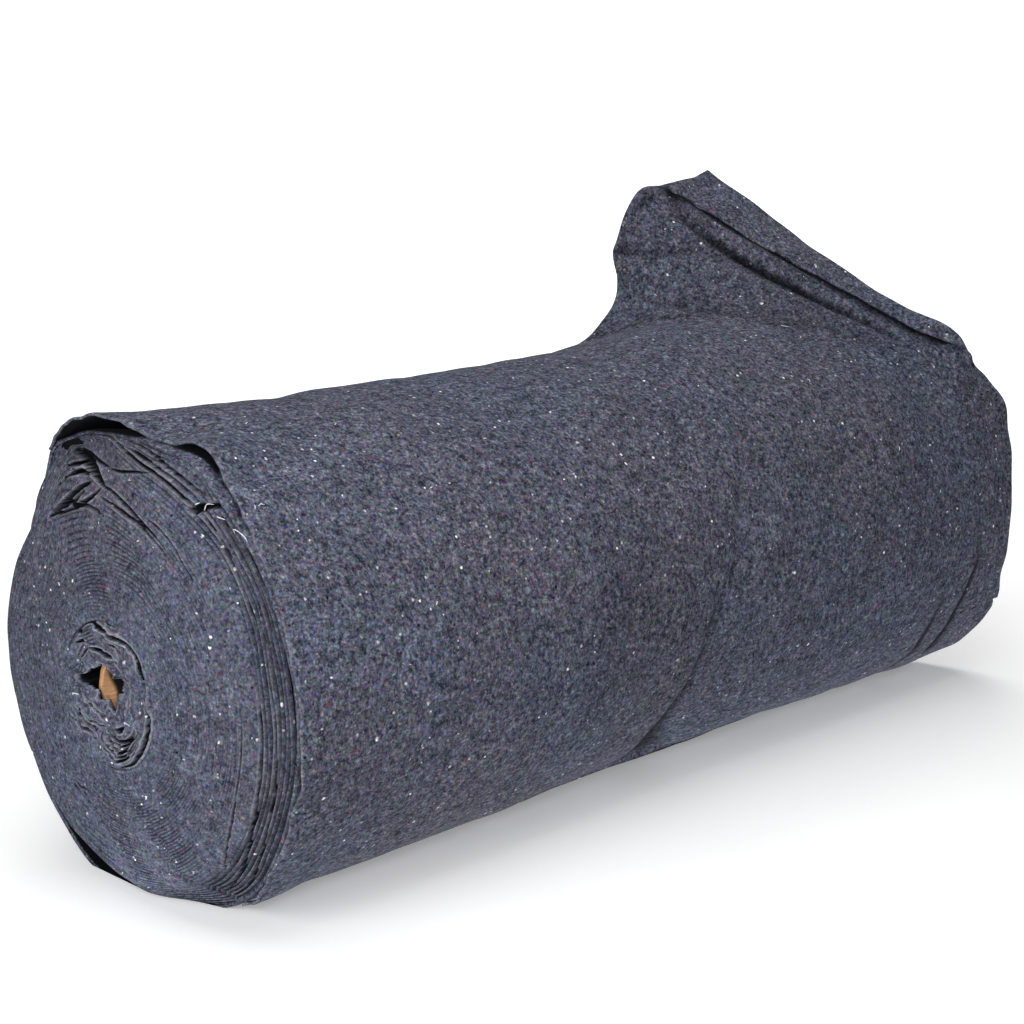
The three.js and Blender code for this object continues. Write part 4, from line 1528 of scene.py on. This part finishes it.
lint = {
    "name": "white_threads",
    "thick": 0.45,
    "sides": 6,
    "rings": 13,
    "bends": 5,
    "across": (0.3, 0.5, 0.8),    # a way that no thread runs along
    "above": (0.3, 1.2),          # how far off the felt its ends are, and its middle as well
    # on the loose turn: x, angle, heading on the felt in degrees, length, how much it curls
    "onTurn": (
        (-484, 51.4, 20, 6, 40), (-480, 52.2, -30, 5, 90), (-488, 50.6, 70, 4, 30), (-301, 47.1, 10, 4, 60),
        (399, 123.9, 40, 5, 70), (240, 52.9, 80, 5, 100), (318, 81.9, -40, 12, 120), (313, 72.5, 30, 6, 50),
        (313, 26.8, 60, 5, 80), (-6, 74.6, 10, 6, 60), (-345, 19.5, 50, 4, 30), (-418, 79, 20, 5, 60),
        (-211, 57.2, 0, 5, 40), (266, 123.9, 90, 5, 60), (-340, 71.7, 30, 4, 20),
    ),
    # loose threads at the near rim, through points (x, radius, angle)
    "atRim": (
        ((-503, 203, 47.5), (-506, 208, 48), (-506, 212, 46.5), (-504, 212.5, 44.8), (-502, 210, 44)),
        ((-507, 192, 61), (-511, 195, 60), (-510, 199, 59.2)),
        ((-506, 195, 58), (-510, 198, 57), (-508, 202, 57.5), (-504, 204, 56.5)),
        ((-505, 200, 54), (-508, 203, 53), (-505, 205, 51.5)),
        ((-516, 168, 112), (-519, 172, 110), (-517, 177, 109)),
        ((-548, 30, 200), (-551, 34, 196), (-549, 38, 199)),
        ((-549, 44, -28), (-552, 46, -22), (-549, 50, -24)),
    ),
}


def makeThreads(face):
    xs, angles, outside = face
    points, faces = [], []
    sides, rings = lint["sides"], lint["rings"]

    def onFelt(x, angle):
        row = np.interp(angle, angles, np.arange(len(angles)))
        col = np.interp(x, xs, np.arange(len(xs)))
        low, left = int(min(row, len(angles) - 2)), int(min(col, len(xs) - 2))
        first, second = (mix(outside[at, left], outside[at, left + 1], col - left) for at in (low, low + 1))
        return mix(first, second, row - low)

    def addThread(path):
        path = smoothThrough(np.arange(len(path)), path, np.linspace(0, len(path) - 1, rings))
        along = unit(np.gradient(path, axis=0))
        aside = unit(np.cross(along, lint["across"]))
        above = np.cross(along, aside)
        thick = lint["thick"] * np.sqrt(np.sin(math.pi * np.linspace(0.04, 0.96, rings)))
        start = len(points) * sides
        turn = np.radians(np.arange(0, 360, 360 / sides))[:, None]
        for place, one, other, size in zip(path, aside, above, thick):
            points.append(place + size * (one * np.cos(turn) + other * np.sin(turn)))
        faces.extend((start + gridFaces(rings, sides, closed=True)).tolist())
        faces.append([start + step for step in reversed(range(sides))])
        faces.append([start + (rings - 1) * sides + step for step in range(sides)])

    least, more = lint["above"]
    for x, angle, heading, length, curl in lint["onTurn"]:
        path = []
        for step in np.linspace(-0.5, 0.5, lint["bends"] + 1):
            way, stride = math.radians(heading + curl * step), length / lint["bends"]
            x = x + stride * math.cos(way)
            angle = angle + math.degrees(stride * math.sin(way) / roll["radius"])
            place = onFelt(x, angle)
            path.append(place + unit(place * (0, 1, 1)) * (least + more * (0.5 - abs(step))))
        addThread(np.array(path))
    for row in lint["atRim"]:
        addThread(aroundRoll(*np.array(row, float).T))
    piece = meshPiece(lint["name"], np.concatenate(points), faces, whiteLint)
    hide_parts("loose_lap")
    print("white threads:", len(lint["onTurn"]) + len(lint["atRim"]))


makeBody()
makeEnd(nearEnd, -1)
makeEnd(farEnd, 1)
makeHub()
makeTube()
lap, outerFace = makeLap()
makeThreads(outerFace)


studio = {
    "sky": 0.093,
    "skyColour": (0.97, 0.98, 1.0, 1),
    "heading": 44.6,      # the backdrop faces the camera
    "backdrop": {
        "width": 14.0,
        "front": -7.0,
        "bendStart": 1.9,
        "bendRadius": 1.4,
        "bendSteps": 18,
        "top": 3.2,
        "under": 0.0005,      # how far it lies below the floor's own height
    },
    "lights": (
        # name, place, aim, size, power
        ("side light", (-2.2, -0.6, 1.6), (-0.3, 0.0, 0.2), 1.0, 14.0),
        ("top light", (-0.1, 0.0, 3.0), (-0.05, 0.0, 0.0), 3.0, 49.0),
        ("shoulder light", (-0.5, -0.85, 1.4), (-0.32, -0.15, 0.35), 0.5, 3.2),
        ("low light", (-1.3, -0.9, 0.6), (-0.5, -0.1, 0.2), 0.6, 8.9),
        ("near end light", (-1.3, -0.2, 0.5), (-0.5, 0.0, 0.2), 0.6, 1.7),
        ("backdrop light", (1.3, 1.3, 2.2), (2.3, 2.3, 0.5), 2.0, 60.0),
        ("floor bounce", (0.0, -0.35, 0.004), (0.0, -0.35, 1.0), (2.5, 1.6), 10.0),
        ("floor bounce, near end", (-0.68, 0.0, 0.004), (-0.62, 0.0, 1.0), (0.14, 0.5), 0.3),
    ),
    "mouth light": {
        "place": (-1.45, -1.15, 0.8),
        "aim": (-0.53, -0.01, 0.195),
        "cone": 3.2,
        "power": 44.0,
        "softness": 0.06,
    },
}


# a seamless sheet of pale paper: flat under the roll, curved up behind it
def makeBackdrop():
    table = studio["backdrop"]
    ahead = [table["front"], table["bendStart"]]
    height = [0.0, 0.0]
    for turn in np.radians(np.linspace(0, 90, table["bendSteps"] + 1)[1:]):
        ahead.append(table["bendStart"] + table["bendRadius"] * math.sin(turn))
        height.append(table["bendRadius"] * (1 - math.cos(turn)))
    ahead.append(ahead[-1])
    height.append(table["top"])
    heading = math.radians(studio["heading"])
    along = (math.sin(heading), math.cos(heading))
    across = (along[1], -along[0])
    points = []
    for far, up in zip(ahead, height):
        for side in (-0.5, 0.5):
            shift = side * table["width"]
            points.append((far * along[0] + shift * across[0], far * along[1] + shift * across[1], up))
    faces = [(2 * row, 2 * row + 1, 2 * row + 3, 2 * row + 2) for row in range(len(ahead) - 1)]
    mesh = bpy.data.meshes.new("pale_backdrop")
    mesh.from_pydata(points, [], faces)
    mesh.materials.append(floorMaterial())
    mesh.polygons.foreach_set("use_smooth", [True] * len(mesh.polygons))
    backdrop = bpy.data.objects.new("pale_backdrop", mesh)
    backdrop.location.z = -table["under"]
    backdrop.visible_diffuse = False      # the floor bounce lights stand in for it
    bpy.context.scene.collection.objects.link(backdrop)


def addLight(name, place, aim, size, power):
    data = bpy.data.lights.new(name, "AREA")
    if isinstance(size, tuple):
        data.shape = "RECTANGLE"
        data.size, data.size_y = size
    else:
        data.size = size
    data.energy = power
    placeLamp(data, place, aim)


def placeLamp(data, place, aim):
    lamp = bpy.data.objects.new(data.name, data)
    lamp.location = place
    lamp.rotation_mode = "QUATERNION"
    lamp.rotation_quaternion = (Vector(aim) - lamp.location).to_track_quat("-Z", "Y")
    lamp.visible_camera = False
    bpy.context.scene.collection.objects.link(lamp)


def makeStudio():
    makeBackdrop()
    for light in studio["lights"]:
        addLight(*light)
    # a small soft spot looks into the tube's mouth
    row = studio["mouth light"]
    data = bpy.data.lights.new("mouth light", "SPOT")
    data.energy = row["power"]
    data.spot_size = math.radians(row["cone"])
    data.spot_blend = 1.0
    data.shadow_soft_size = row["softness"]
    placeLamp(data, row["place"], row["aim"])
    world = bpy.data.worlds.new("pale room")
    world.use_nodes = True
    sky = world.node_tree.nodes["Background"]
    sky.inputs["Color"].default_value = studio["skyColour"]
    sky.inputs["Strength"].default_value = studio["sky"]
    bpy.context.scene.world = world
    bpy.context.scene.view_settings.view_transform = "Standard"


makeStudio()
print("studio lit")
